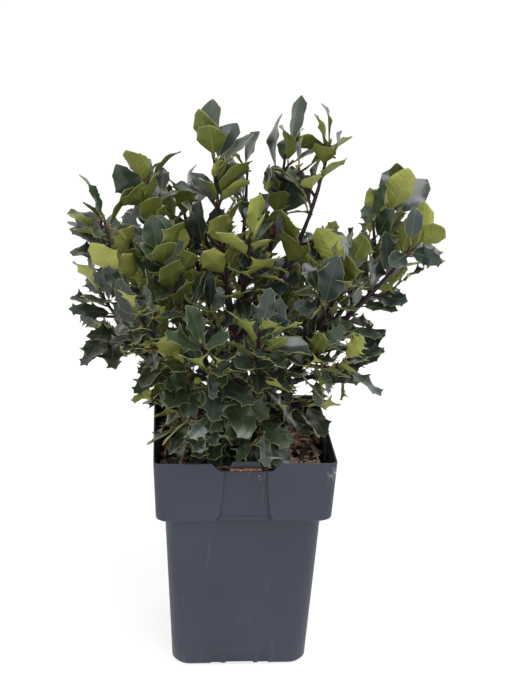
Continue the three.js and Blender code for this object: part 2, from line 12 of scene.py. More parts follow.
import bpy
import numpy as np
from mathutils import Euler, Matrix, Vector


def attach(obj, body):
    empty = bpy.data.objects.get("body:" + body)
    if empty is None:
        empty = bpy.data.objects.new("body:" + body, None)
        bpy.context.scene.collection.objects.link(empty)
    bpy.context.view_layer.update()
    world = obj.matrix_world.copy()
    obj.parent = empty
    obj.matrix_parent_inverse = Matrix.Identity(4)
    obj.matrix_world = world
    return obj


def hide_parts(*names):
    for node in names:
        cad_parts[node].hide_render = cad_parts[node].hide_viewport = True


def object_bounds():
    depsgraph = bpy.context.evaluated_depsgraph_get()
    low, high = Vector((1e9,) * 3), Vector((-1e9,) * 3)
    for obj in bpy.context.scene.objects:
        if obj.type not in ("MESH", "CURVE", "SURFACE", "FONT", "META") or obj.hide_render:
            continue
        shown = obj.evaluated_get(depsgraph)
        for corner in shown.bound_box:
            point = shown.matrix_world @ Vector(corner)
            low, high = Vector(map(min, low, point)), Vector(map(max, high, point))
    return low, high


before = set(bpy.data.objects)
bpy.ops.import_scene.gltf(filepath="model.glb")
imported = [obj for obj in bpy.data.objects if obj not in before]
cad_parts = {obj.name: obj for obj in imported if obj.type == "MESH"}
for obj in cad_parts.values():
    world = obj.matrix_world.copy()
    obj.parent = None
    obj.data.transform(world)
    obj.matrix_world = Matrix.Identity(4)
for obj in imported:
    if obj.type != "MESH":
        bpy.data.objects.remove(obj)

CAD_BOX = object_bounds()
MM = 0.001  # sizes below are in millimetres, and Blender's are in metres
print("solids", len(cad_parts), "box", [round(v, 3) for corner in CAD_BOX for v in corner])

# %% [markdown]
# ## The camera
#
# A photograph of a thing with straight edges tells where its camera stood. Here the pot's
# edges were fitted: the camera looks down on the plant by about twenty degrees, from a little
# over a metre away, a touch from the left, and it is rolled by under two degrees. A camera
# that is turned in the order roll, pitch, heading can be written as three Euler angles.

# %% Set the camera where the photograph was taken
CAMERA_AT = (-69.5, -1029.0, 642.5)
CAMERA_HEADING = -4.78  # degrees about Z, from looking along +Y
CAMERA_PITCH = 19.8  # degrees down
CAMERA_ROLL = 1.78
FOCAL_PIXELS = 1300  # in an image 525 pixels wide and 700 high
IMAGE_HEIGHT = 700

camera_data = bpy.data.cameras.new("camera")
camera_data.sensor_width = 36.0
camera_data.lens = FOCAL_PIXELS / IMAGE_HEIGHT * camera_data.sensor_width
camera = bpy.data.objects.new("camera", camera_data)
bpy.context.scene.collection.objects.link(camera)
camera.location = Vector(CAMERA_AT) * MM
heading = Euler((0, 0, math.radians(CAMERA_HEADING))).to_matrix()
pitch = Euler((math.radians(90 - CAMERA_PITCH), 0, 0)).to_matrix()
roll = Euler((0, 0, math.radians(CAMERA_ROLL))).to_matrix()
camera.rotation_euler = (heading @ pitch @ roll).to_euler()
bpy.context.scene.camera = camera
print("lens", round(camera_data.lens, 1), "mm")

# %% [markdown]
# ## Colours, nodes and pieces
#
# Colours are picked as sRGB hex values, but shaders add up light, so one function turns them
# to linear values. A second adds a node with its settings and links, which is all that a node
# material needs, and a few short ones name the nodes that every material here uses: noise, a
# change of range, a mix of colours, bumps, and the surface itself. The last makes a mesh from
# arrays of points and faces, sets which material slot each face uses, and tells the frame that
# the piece rides on the model's one body.

# %% Helpers for colours, nodes and meshes


def linear(colour):
    """An sRGB hex colour as linear red, green, blue and alpha."""
    parts = [int(colour[i : i + 2], 16) / 255 for i in (1, 3, 5)]
    return tuple(c / 12.92 if c <= 0.04045 else ((c + 0.055) / 1.055) ** 2.4 for c in parts) + (1.0,)


def add_node(material, kind, inputs=(), **settings):
    """Adds a node to a material. An input is a value or another node's output."""
    made = material.node_tree.nodes.new(kind)
    for name, value in settings.items():
        setattr(made, name, value)
    for socket, value in dict(inputs).items():
        if isinstance(value, bpy.types.NodeSocket):
            material.node_tree.links.new(value, made.inputs[socket])
        else:
            made.inputs[socket].default_value = value
    return made


def start_material(name):
    material = bpy.data.materials.new(name)
    material.use_nodes = True
    material.node_tree.nodes.clear()
    return material


def place_on(material):
    """Where a point is on its object, for textures that fill space and so never stretch."""
    return add_node(material, "ShaderNodeTexCoord").outputs["Object"]


def noise(material, place, scale, detail=2.0, roughness=0.5):
    """Cloudy values from 0 to 1, with so many clouds to a metre."""
    inputs = {"Vector": place, "Scale": scale, "Detail": detail, "Roughness": roughness}
    return add_node(material, "ShaderNodeTexNoise", inputs).outputs["Fac"]


def remap(material, value, low=0.0, high=1.0, to_low=0.0, to_high=1.0):
    """A value moved from one range to another and held there."""
    inputs = {"Value": value, "From Min": low, "From Max": high, "To Min": to_low, "To Max": to_high}
    return add_node(material, "ShaderNodeMapRange", inputs).outputs[0]


def blend(material, share, first, second):
    """A mix of two colours."""
    inputs = {0: share, 6: first, 7: second}
    return add_node(material, "ShaderNodeMix", inputs, data_type="RGBA").outputs[2]


def combine(material, operation, first, second, **settings):
    """Two values in one, by a named operation."""
    inputs = {0: first, 1: second}
    return add_node(material, "ShaderNodeMath", inputs, operation=operation, **settings).outputs[0]


def relief(material, height, strength, depth, under=None):
    """Bumps of a depth in millimetres, alone or on top of other bumps."""
    inputs = {"Height": height, "Strength": strength, "Distance": depth * MM}
    if under is not None:
        inputs["Normal"] = under
    return add_node(material, "ShaderNodeBump", inputs).outputs[0]


def close_material(material, colour, roughness, bumps=None, **direct):
    """Ends a material with its surface. More settings are given by name, with _ for a space."""
    inputs = {"Base Color": colour, "Roughness": roughness}
    if bumps is not None:
        inputs["Normal"] = bumps
    inputs.update((name.replace("_", " "), value) for name, value in direct.items())
    shader = add_node(material, "ShaderNodeBsdfPrincipled", inputs)
    add_node(material, "ShaderNodeOutputMaterial", {"Surface": shader.outputs[0]})
    return material


def make_piece(name, points, faces, materials, slots=0, smooth=True, finish="foliage", replaced=()):
    """A mesh from points in millimetres, riding on the plant's one body."""
    mesh = bpy.data.meshes.new(name)
    points = np.asarray(points, dtype=np.float64) * MM
    faces = faces.tolist() if isinstance(faces, np.ndarray) else faces
    mesh.from_pydata(points.tolist(), [], faces)
    for material in materials:
        mesh.materials.append(material)
    count = len(mesh.polygons)
    mesh.polygons.foreach_set("material_index", np.broadcast_to(slots, count).astype(np.int32))
    mesh.polygons.foreach_set("use_smooth", np.full(count, smooth))
    mesh.update()
    piece = bpy.data.objects.new(name, mesh)
    bpy.context.scene.collection.objects.link(piece)
    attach(piece, "root")
    if replaced:
        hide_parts(*replaced)
    mesh.calc_loop_triangles()
    print(name, len(mesh.loop_triangles), "triangles")
    return piece


# %% [markdown]
# ## The studio
#
# The plant was cut out on white, so the floor and the world are near white. Outdoors under
# cloud the light comes from the whole sky: a bright world does that, and one large soft lamp
# above and in front gives the leaves their sheen and the pot its gentle shading.

# %% Floor, world and lamps
FLOOR_SIZE = 30000
FLOOR_SHADE = 0.25  # how much of the floor's white is lit, and so can be in shade
FLOOR_LIGHT = 1.02  # what the lit part and the floor's own light come to
floor_material = close_material(
    start_material("matt_white_board"),
    (FLOOR_SHADE, FLOOR_SHADE, FLOOR_SHADE, 1.0),
    0.9,
    Emission_Color=linear("#ffffff"),
    Emission_Strength=FLOOR_LIGHT - FLOOR_SHADE,
    Specular_IOR_Level=0.1,
)
floor_mesh = bpy.data.meshes.new("floor")
half = FLOOR_SIZE * MM / 2
corners = [(-half, -half, 0), (half, -half, 0), (half, half, 0), (-half, half, 0)]
floor_mesh.from_pydata(corners, [], [(0, 1, 2, 3)])
floor_mesh.materials.append(floor_material)
floor = bpy.data.objects.new("floor", floor_mesh)
bpy.context.scene.collection.objects.link(floor)

world = bpy.data.worlds.new("overcast")
world.use_nodes = True
world.node_tree.nodes["Background"].inputs["Color"].default_value = (1.0, 1.0, 1.0, 1.0)
world.node_tree.nodes["Background"].inputs["Strength"].default_value = 1.0
bpy.context.scene.world = world
bpy.context.scene.view_settings.view_transform = "Standard"  # colours come out as they were picked


def add_lamp(name, at, aim, size, power):
    lamp_data = bpy.data.lights.new(name, "AREA")
    lamp_data.shape = "DISK"
    lamp_data.size = size * MM
    lamp_data.energy = power
    lamp = bpy.data.objects.new(name, lamp_data)
    bpy.context.scene.collection.objects.link(lamp)
    lamp.location = Vector(at) * MM
    lamp.rotation_euler = (Vector(aim) - Vector(at)).to_track_quat("-Z", "Y").to_euler()


add_lamp("sky_lamp", at=(350, -700, 2100), aim=(0, 0, 250), size=1600, power=34)
print("studio ready")

# %% [markdown]
# ## The pot
#
# A real pot of this kind is one thin moulding of grey-blue plastic: a tapering square body, a
# wider collar with two raised panels on each side, a sunk field between them, and a rim that
# dips in the middle of the front and the back. A lofted skin suits it: rings of the same count of points,
# each a rounded square, run up the outside, over the rim and down the inside. The sunk fields
# are then pressed into the skin, so their edges come out soft, as a mould leaves them.

# %% Sizes of the pot
RIM_TOP = 200
COLLAR_FOOT = 147
COLLAR_DRAFT = 0.0406
WALL = 1.5
FLOOR_TOP = 5
# Height, half width and corner radius, up the outside.
POT_OUTSIDE = [
    (0, 54.6, 12), (0.4, 55.6, 13), (3, 58.2, 16), (20, 59.0, 15.5), (50, 60.5, 14.7), (90, 62.5, 13.5),
    (125, 64.2, 12.5), (142, 65.0, 12), (143.2, 65.3, 12), (143.7, 66.4, 11.5), (144.8, 69.4, 9.6),
    (145.8, 70.6, 9), (147, 72.0, 8.4), (147.6, 72.6, 8.2),
]
COLLAR_HALF = [(148.5, 72.9, 8), (199, 75, 5)]
INSIDE_HALF = [(FLOOR_TOP, 56.6, 14), (145, 63.6, 11), (149, 71.4, 7), (RIM_TOP, 73.5, 4)]
FLOOR_RINGS = [(4, 2), (20, 6), (40, 10)]  # half width and corner, out from the middle
RIM_RINGS = [(74.93, 199.5), (74.75, 199.85), (74.4, 200), (74.0, 199.95), (73.65, 199.7)]
RIM_CORNER = 5
RECESS_HALF_TOP = 17.5
RECESS_HALF_FOOT = 21.6
RECESS_TOP = 192
RECESS_PLANE = 69.9
PANEL_CORNER = 5
SOFT_EDGE = 1.3  # how wide the rounded edge of a panel is
DIP_DEPTH = 6.8
DIP_HALF = 21
DIP_HALF_TOP = 28.5
RIM_FROM = 170  # rings above this height follow the dips
CORNER_POINTS = 8

# %% Rings of the pot's skin
INNER_POINTS = np.array([0, 4, 8, 11, 13.2, 14.8, *np.arange(16, 29.5, 0.75)])
OUTER_SHARES = np.linspace(0, 1, 7)[1:]
LEAST_FLAT = 42  # on a shorter side than this the inner points draw together


def side_points(half_flat):
    """Distances along a side, close together where the panels' edges run."""
    inner = INNER_POINTS * min(1, half_flat / LEAST_FLAT)
    outer = inner[-1] + OUTER_SHARES * (half_flat - inner[-1])
    right = np.concatenate([inner, outer])
    return np.concatenate([-right[:0:-1], right])


def square_ring(half, corner, z):
    """A rounded square of points, anticlockwise from the front's left end."""
    flat = half - corner
    xs = side_points(flat)
    front = np.column_stack([xs, np.full(len(xs), -half)])
    angles = np.radians(np.linspace(-90, 0, CORNER_POINTS + 1)[1:-1])
    arc = np.column_stack([flat + corner * np.cos(angles), -flat + corner * np.sin(angles)])
    quarter = np.vstack([front, arc])
    turn = np.array([[0, 1], [-1, 0]])  # a quarter turn, from the front to the right side
    ring = np.vstack([quarter @ np.linalg.matrix_power(turn, side) for side in range(4)])
    return np.column_stack([ring, np.broadcast_to(z, len(ring))])


def smooth_step(value):
    share = np.clip(value, 0, 1)
    return share * share * (3 - 2 * share)


def across_side(ring):
    """How far each point of a ring is from the middle of its side, and which side that is."""
    quarter = len(ring) // 4
    side = np.arange(len(ring)) // quarter
    across = np.where(side % 2 == 0, ring[:, 0], ring[:, 1])
    return np.abs(across), side


SIDES = [(1, -1), (0, 1), (1, 1), (0, -1)]  # front, right, back and left: axis and sign


def press_recess(ring, grow=0.0):
    """Presses the sunk fields into a ring of the collar, or into the inside of its wall."""
    across, side = across_side(ring)
    z = ring[:, 2]
    fall = np.clip((RECESS_TOP - z) / (RECESS_TOP - COLLAR_FOOT), 0, 1)
    edge = RECESS_HALF_TOP + (RECESS_HALF_FOOT - RECESS_HALF_TOP) * fall**2.2 + grow
    down = np.clip((COLLAR_FOOT + PANEL_CORNER - z) / PANEL_CORNER, 0, 1)
    edge = edge + PANEL_CORNER * (1 - np.sqrt(1 - down**2))
    beside = smooth_step((edge - across) / SOFT_EDGE + 0.5)
    under = smooth_step((RECESS_TOP + grow - z) / SOFT_EDGE + 0.5)
    sunk = beside * under
    plane = RECESS_PLANE + COLLAR_DRAFT * (z - COLLAR_FOOT) - grow
    for number, (axis, sign) in enumerate(SIDES):
        here = side == number
        distance = ring[:, axis] * sign
        pressed = distance + (np.minimum(plane, distance) - distance) * sunk
        ring[here, axis] = (pressed * sign)[here]
    return ring


def rim_height(ring):
    """The rim's height at each point: lower in the middle of the front and the back."""
    across, side = across_side(ring)
    slope = (DIP_HALF_TOP - across) / (DIP_HALF_TOP - DIP_HALF)
    depth = np.where(side % 2 == 0, DIP_DEPTH, 0)
    return RIM_TOP - depth * (0.6 * smooth_step(slope) + 0.4 * np.clip(slope, 0, 1))


def at_height(rows, z):
    """Half width and corner radius at a height, from rows of (height, half width, corner)."""
    heights = [row[0] for row in rows]
    return np.interp(z, heights, [row[1] for row in rows]), np.interp(z, heights, [row[2] for row in rows])


def dipped_ring(half, corner, z):
    """A ring whose top part follows the dips of the rim."""
    ring = square_ring(half, corner, z)
    lowered = np.clip((z - RIM_FROM) / (RIM_TOP - RIM_FROM), 0, 1)
    ring[:, 2] -= (RIM_TOP - rim_height(ring)) * lowered
    return ring


def pot_rings():
    """From the middle of the underside up the outside, over the rim and down to the floor."""
    rings = [square_ring(half, corner, 0) for half, corner in FLOOR_RINGS]
    rings += [square_ring(half, corner, z) for z, half, corner in POT_OUTSIDE]
    for z in [*np.arange(148.4, 188, 1.6), *np.arange(188, 199.2, 0.7)]:
        rings.append(press_recess(dipped_ring(*at_height(COLLAR_HALF, z), z)))
    rings += [dipped_ring(half, RIM_CORNER, z) for half, z in RIM_RINGS]
    for z in [*np.arange(199, 190, -0.6), *np.arange(189.4, 172, -3), 165, 158, 152, 149.5, 147, 145]:
        rings.append(press_recess(dipped_ring(*at_height(INSIDE_HALF, z), z), grow=WALL))
    for z in (143, 120, 80, 40, 12, FLOOR_TOP):
        rings.append(square_ring(*at_height(INSIDE_HALF, z), z))
    rings += [square_ring(half, corner, FLOOR_TOP) for half, corner in FLOOR_RINGS[::-1]]
    return rings


def ring_faces(rings, count, first=0):
    """Faces of a closed skin over so many rings of so many points, numbered on from the first."""
    low = first + np.arange(rings - 1)[:, None] * count
    here = np.arange(count)[None, :]
    after = (here + 1) % count
    quads = np.stack([low + here, low + after, low + after + count, low + here + count], axis=-1)
    last = first + (rings - 1) * count
    ends = [list(range(first, first + count))[::-1], list(range(last, last + count))]
    return quads.reshape(-1, 4).tolist() + ends


rings = pot_rings()
pot_points, pot_faces = np.vstack(rings), ring_faces(len(rings), len(rings[0]))
print("pot skin", len(pot_points), "points")

# %% [markdown]
# ## The pot's underside and label holder
#
# The feet of the pot are what is left between shallow drainage channels, with a hole where
# they cross. Cutting is what a Boolean modifier is for: the cutters are simple boxes and
# cylinders, the modifier is applied, and the cutters go. Behind the dip in the front's rim a
# short upright tab holds a label. It is a bevelled block, and a piece of its own.

# %% Cut the underside and add the label holder
DRAIN_AT = 20.5
DRAIN_WIDTH = 9
DRAIN_DEPTH = 3
DRAIN_HOLE = 4
ARCH_HALF = 12  # the low arch in the foot of each wall
ARCH_FROM = 46
ARCH_HEIGHT = 3.4
CUT_HALF = 90
HOLE_SIDES = 24
TAB_HALF = 14
TAB_HALF_TOP = 10.8
TAB_INNER = 68.9
TAB_OUTER = 71.0
TAB_FOOT = 178
TAB_SHOULDER = 193.6
TAB_BEVEL = 0.45


def prism(outline, low, high):
    """Points and faces of an upright block with that outline, anticlockwise from above."""
    count = len(outline)
    points = [(x, y, z) for z in (low, high) for x, y in outline]
    around = [(i, (i + 1) % count, (i + 1) % count + count, i + count) for i in range(count)]
    return points, [list(range(count))[::-1], list(range(count, 2 * count)), *around]


def channel(x_half, y_half, x=0, y=0):
    left, right, near, far = x - x_half, x + x_half, y - y_half, y + y_half
    return [(left, near), (right, near), (right, far), (left, far)]


def circle(x, y, radius):
    angles = np.linspace(0, 2 * math.pi, HOLE_SIDES + 1)[:-1]
    return [(x + radius * math.cos(a), y + radius * math.sin(a)) for a in angles]


def cut_with(piece, points, faces):
    """Cuts a closed shape out of a piece, and removes the cutter."""
    mesh = bpy.data.meshes.new("cutter")
    mesh.from_pydata([tuple(c * MM for c in p) for p in points], [], faces)
    cutter = bpy.data.objects.new("cutter", mesh)
    bpy.context.scene.collection.objects.link(cutter)
    cut = piece.modifiers.new("cut", "BOOLEAN")
    cut.operation = "DIFFERENCE"
    cut.solver = "EXACT"
    cut.object = cutter
    evaluated = piece.evaluated_get(bpy.context.evaluated_depsgraph_get())
    cut_mesh = bpy.data.meshes.new_from_object(evaluated)
    piece.modifiers.clear()
    old = piece.data
    piece.data = cut_mesh
    bpy.data.objects.remove(cutter)
    bpy.data.meshes.remove(old)


# %% [markdown]
# ## Moulded plastic
#
# The pot is polypropylene, moulded with carbon and blue-grey pigment. Its surface is even and
# half matt, so its reflections are broad. What makes it look real is small: a faint cloudiness
# in the colour, specks of dust, a few scuffs where pots rub together, one corner of the rim
# scraped pale, and a very fine moulded grain, drawn a little coarser here so that it shows.
# The inside is the same plastic, painted near black as painted shade for the shade that fills the pot.

# %% The pot's materials
GRAIN = 0.9  # millimetres, about twice as coarse as the moulded grain
SCUFF = 9.0
UNDER_RIM = 1.5  # how far down the inside its dark plastic begins
RUBBED_AT = (74.2, -72.6, 190)  # where the rim has been scraped pale
RUBBED_HALF = (3, 9)  # fully scraped up to the first distance, and not at all from the second


def moulded_plastic(name, colour, worn, dust, roughness):
    material = start_material(name)
    place = place_on(material)
    cloud = noise(material, place, 14.0, 4.0, 0.6)
    tinted = blend(material, remap(material, cloud, 0.35, 0.68), linear(colour), linear(worn))
    stretched = add_node(material, "ShaderNodeMapping", {"Vector": place, "Scale": (1.0, 1.0, 0.12)})
    scuffs = noise(material, stretched.outputs[0], 1000 / SCUFF, 3.0, 0.7)
    cells = add_node(material, "ShaderNodeTexVoronoi", {"Vector": place, "Scale": 260.0, "Randomness": 1.0})
    specks = remap(material, cells.outputs["Distance"], 0.05, 0.11, 0.5, 0.0)
    rare = remap(material, noise(material, place, 38.0), 0.6, 0.7)
    speckled = combine(material, "MULTIPLY", specks, rare)
    scuffed = remap(material, scuffs, 0.64, 0.78, 0.0, 0.16)
    dusty = combine(material, "MAXIMUM", scuffed, speckled, use_clamp=True)
    tinted = blend(material, dusty, tinted, linear(dust))
    rubbed_at = tuple(c * MM for c in RUBBED_AT)
    away = add_node(material, "ShaderNodeVectorMath", {0: place, 1: rubbed_at}, operation="DISTANCE")
    rubbed = remap(material, away.outputs["Value"], RUBBED_HALF[0] * MM, RUBBED_HALF[1] * MM, 0.9, 0.0)
    patchy = remap(material, noise(material, place, 420.0, 3.0), 0.46, 0.6)
    tinted = blend(material, combine(material, "MULTIPLY", rubbed, patchy), tinted, linear(dust))
    rough = remap(material, cloud, to_low=roughness - 0.06, to_high=roughness + 0.08)
    grain = relief(material, noise(material, place, 1000 / GRAIN, 2.0), 0.12, 0.1)
    warp = relief(material, noise(material, place, 22.0, 1.0), 0.35, 1.2, under=grain)
    return close_material(material, tinted, rough, warp, IOR=1.49, Specular_IOR_Level=0.45)


outside_plastic = moulded_plastic("moulded_blue_grey_plastic", "#292e3b", "#303645", "#8d8a88", 0.5)
# Painted shade: the inside of the pot gets a near-black copy of the plastic.
painted_shade_plastic = moulded_plastic("near_black_painted_shade_plastic", "#131216", "#1f1d22", "#3c3733", 0.62)

# %% Make the pot
pot = make_piece(
    "pot_moulding", pot_points, pot_faces, [outside_plastic, painted_shade_plastic], finish="pot", replaced=["pot"]
)
for at in (-DRAIN_AT, DRAIN_AT):
    cut_with(pot, *prism(channel(DRAIN_WIDTH / 2, CUT_HALF, x=at), -2, DRAIN_DEPTH))
    cut_with(pot, *prism(channel(CUT_HALF, DRAIN_WIDTH / 2, y=at), -2, DRAIN_DEPTH - 0.01))
    for across in (-DRAIN_AT, DRAIN_AT):
        cut_with(pot, *prism(circle(at, across, DRAIN_HOLE), -2, FLOOR_TOP + 2))
for sign in (-1, 1):
    middle, half = sign * (ARCH_FROM + CUT_HALF) / 2, (CUT_HALF - ARCH_FROM) / 2
    cut_with(pot, *prism(channel(ARCH_HALF, half, y=middle), -2, ARCH_HEIGHT))
    cut_with(pot, *prism(channel(half, ARCH_HALF, x=middle), -2, ARCH_HEIGHT))
# Faces inside the pot and on its floor take the near-black plastic, as painted shade.
for face in pot.data.polygons:
    inward = face.center.xy.dot(face.normal.xy) < -0.3 * face.center.xy.length
    on_floor = face.normal.z > 0.9 and face.center.z < (FLOOR_TOP + 1) * MM
    face.material_index = int((inward or on_floor) and face.center.z < (RIM_TOP - UNDER_RIM) * MM)
print("pot", len(pot.data.polygons), "faces")

# %% Make the label holder
tab_outline = [
    (-TAB_HALF, TAB_FOOT), (TAB_HALF, TAB_FOOT), (TAB_HALF, TAB_SHOULDER),
    (TAB_HALF_TOP, RIM_TOP), (-TAB_HALF_TOP, RIM_TOP), (-TAB_HALF, TAB_SHOULDER),
]
tab_points, tab_faces = prism(tab_outline, TAB_INNER, TAB_OUTER)
tab_points = [(x, -distance, z) for x, z, distance in tab_points]
tab = make_piece("label_holder", tab_points, tab_faces, [outside_plastic], smooth=False, finish="pot")
bevel = tab.modifiers.new("soft_edges", "BEVEL")
bevel.width = TAB_BEVEL * MM
bevel.segments = 3

# %% [markdown]
# ## Compost and bark mulch
#
# The pot is filled with compost to a little under its rim, and topped with chips of pine bark.
# The solid root ball keeps its shape and gets a dark, crumbly material. The chips are what the
# eye sees: strips and flakes that lie across each other. Each is a bent, tapering strip of five
# rings, and all of them are one mesh, which is lighter for Blender than many objects.

# %% Materials of the mulch
CRUMB = 3.5


def bark_chip(name, colour):
    """Weathered pine bark, matt and fibrous."""
    material = start_material(name)
    fibre = noise(material, place_on(material), 420.0, 3.0, 0.65)
    rough = remap(material, fibre, to_low=0.7, to_high=0.95)
    bumps = relief(material, fibre, 0.6, 0.6)
    return close_material(material, linear(colour), rough, bumps, IOR=1.45, Specular_IOR_Level=0.25)


def moist_compost(name):
    material = start_material(name)
    place = place_on(material)
    crumbs = add_node(material, "ShaderNodeTexVoronoi", {"Vector": place, "Scale": 1000 / CRUMB})
    colour = blend(material, noise(material, place, 60.0, 5.0), linear("#251c19"), linear("#463830"))
    return close_material(material, colour, 0.9, relief(material, crumbs.outputs["Distance"], 0.8, 1.5))


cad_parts["root_ball"].data.materials.clear()
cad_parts["root_ball"].data.materials.append(moist_compost("moist_bark_compost"))
chip_materials = [
    bark_chip("fresh_bark_chip", "#9f8271"),
    bark_chip("brown_bark_chip", "#80695b"),
    bark_chip("dull_bark_chip", "#685850"),
    bark_chip("dark_bark_chip", "#3f3432"),
    bark_chip("pale_bark_chip", "#c0a48f"),
]

# %% Chips of bark
SOIL_TOP = 175
CHIP_COUNT = 820
CHIP_LENGTH = (6, 30)
CHIP_WIDTH = (2.0, 6.4)
CHIP_THICK = (0.7, 2.3)
CHIP_TILT = (-8, 18)  # degrees up from level, along the chip
CHIP_LEAN = (-30, 30)
CHIP_BEND = (-0.15, 0.35)
CHIP_SPREAD = 69
CHIP_OVER = 1.5  # how far a chip's end may pass the spread
CHIP_RINGS = 5
CHIP_SIDES = 4
CHIP_SEED = 11
MULCH_DEEP = 3.5
PILE = 9  # how much higher the mulch lies by the wall than round the trunk
PILE_FROM = 20
# Painted shade: the lowest chips, under and between the others, take the dark tint.
SHADE_PAINTED_BELOW = 0.25  # the lowest share of the chips is dark
DARK_CHIP = 3
TRUNK_FOOT_CLEAR = 10


def numbers_from(seed):
    """A stream of numbers from 0 to 1, the same on every run and in the solids' source."""
    state = seed * 7919 + 12345

    def number():
        nonlocal state
        state = (state * 1664525 + 1013904223) % 4294967296
        return state / 4294967296

    return number


def between(limits, share):
    return limits[0] + (limits[1] - limits[0]) * share


def strip(middle, direction, up, length, width, thick, bend, number):
    """Rings of four points along a bent strip that narrows at both ends."""
    side = np.cross(up, direction)
    rings = []
    for i in range(CHIP_RINGS):
        share = i / (CHIP_RINGS - 1)
        taper = 0.35 + 0.65 * math.sin(math.pi * (0.15 + 0.7 * share)) * (0.8 + 0.4 * number())
        at = middle + direction * length * (share - 0.5) + up * bend * length * (0.25 - (share - 0.5) ** 2)
        half, deep = side * width / 2 * taper, up * thick / 2 * taper
        low = [at - half - deep, at + half - deep * 0.6]
        rings.append(low + [at + half * 0.9 + deep, at - half * 0.8 + deep])
    return rings


def scatter_chips(seed, count):
    """Chips at random places, those that would stand in the trunk or the wall left out."""
    number = numbers_from(seed)
    points, faces, slots = [], [], []
    placed = 0
    while placed < count:
        x, y = (number() * 2 - 1) * CHIP_SPREAD, (number() * 2 - 1) * CHIP_SPREAD
        share = number() ** 1.8
        length, width = between(CHIP_LENGTH, share), between(CHIP_WIDTH, number()) * (0.6 + 0.4 * share)
        turn = number() * 2 * math.pi
        tilt, lean = (math.radians(between(limits, number())) for limits in (CHIP_TILT, CHIP_LEAN))
        level, tint = number(), number()
        if math.hypot(x, y) < TRUNK_FOOT_CLEAR + length / 2:
            continue
        flat_way = np.array([math.cos(turn), math.sin(turn), 0])
        direction = flat_way * math.cos(tilt) + np.array([0, 0, math.sin(tilt)])
        reach = np.abs(np.array([x, y])) + np.abs(direction[:2]) * length / 2
        if reach.max() > CHIP_SPREAD + CHIP_OVER:
            continue
        flat = np.cross(np.cross(direction, [0, 0, 1]), direction)
        flat /= np.linalg.norm(flat)
        up = flat * math.cos(lean) + np.cross(direction, flat) * math.sin(lean)
        pile = PILE * (max(abs(x), abs(y), PILE_FROM) - PILE_FROM) / CHIP_SPREAD
        lift = (MULCH_DEEP + pile) * level + length / 2 * abs(math.sin(tilt))
        middle = np.array([x, y, SOIL_TOP + 0.5 + lift])
        thick, bend = between(CHIP_THICK, number()), between(CHIP_BEND, number())
        rings = strip(middle, direction, up, length, width, thick, bend, number)
        chip = ring_faces(CHIP_RINGS, CHIP_SIDES, len(points))
        points += [p for ring in rings for p in ring]
        faces += chip
        shade = min(int(tint**0.9 * len(chip_materials)), len(chip_materials) - 1)
        # Chips low in the mulch take the dark tint as painted shade.
        slots += [shade if level > SHADE_PAINTED_BELOW else DARK_CHIP] * len(chip)
        placed += 1
    return points, faces, slots


chip_points, chip_faces, chip_slots = scatter_chips(CHIP_SEED, CHIP_COUNT)
make_piece("bark_mulch", chip_points, chip_faces, chip_materials, chip_slots, smooth=False, finish="compost")

# %% [markdown]
# ## The plan of the crown
#
# A young holly has a short trunk that forks low into ascending limbs, and each limb carries a
# mass of leafy shoots. The rows below are that plan, one limb and its mass each, the same as in
# the solids: what the limb leaves and how far along, its bearing, and how far out and up its
# leaves reach. Growing from the same rows and the same seeds keeps the dressed plant where
# the solids are.

# %% The rows of the crown
TRUNK_TOP = np.array([2.0, 3.0, 244.0])
TRUNK_RADII = (8, 5.4)
GAP = 0.3
USUAL = {"start": "trunk", "thick": 2.4, "bow": 0.16, "droop": 0.08, "bough": True}
LEANING = {"thick": 2.6, "bow": 0.27}
CORE = {"bough": False, "bow": 0.25}
LOW = {"bough": False, "droop": 0.35}
HANGING = {"bough": False, "droop": 0.45}


def row(name, at, side, reach, top, **extra):
    return {**USUAL, "name": name, "at": at, "side": side, "reach": reach, "top": top, **extra}


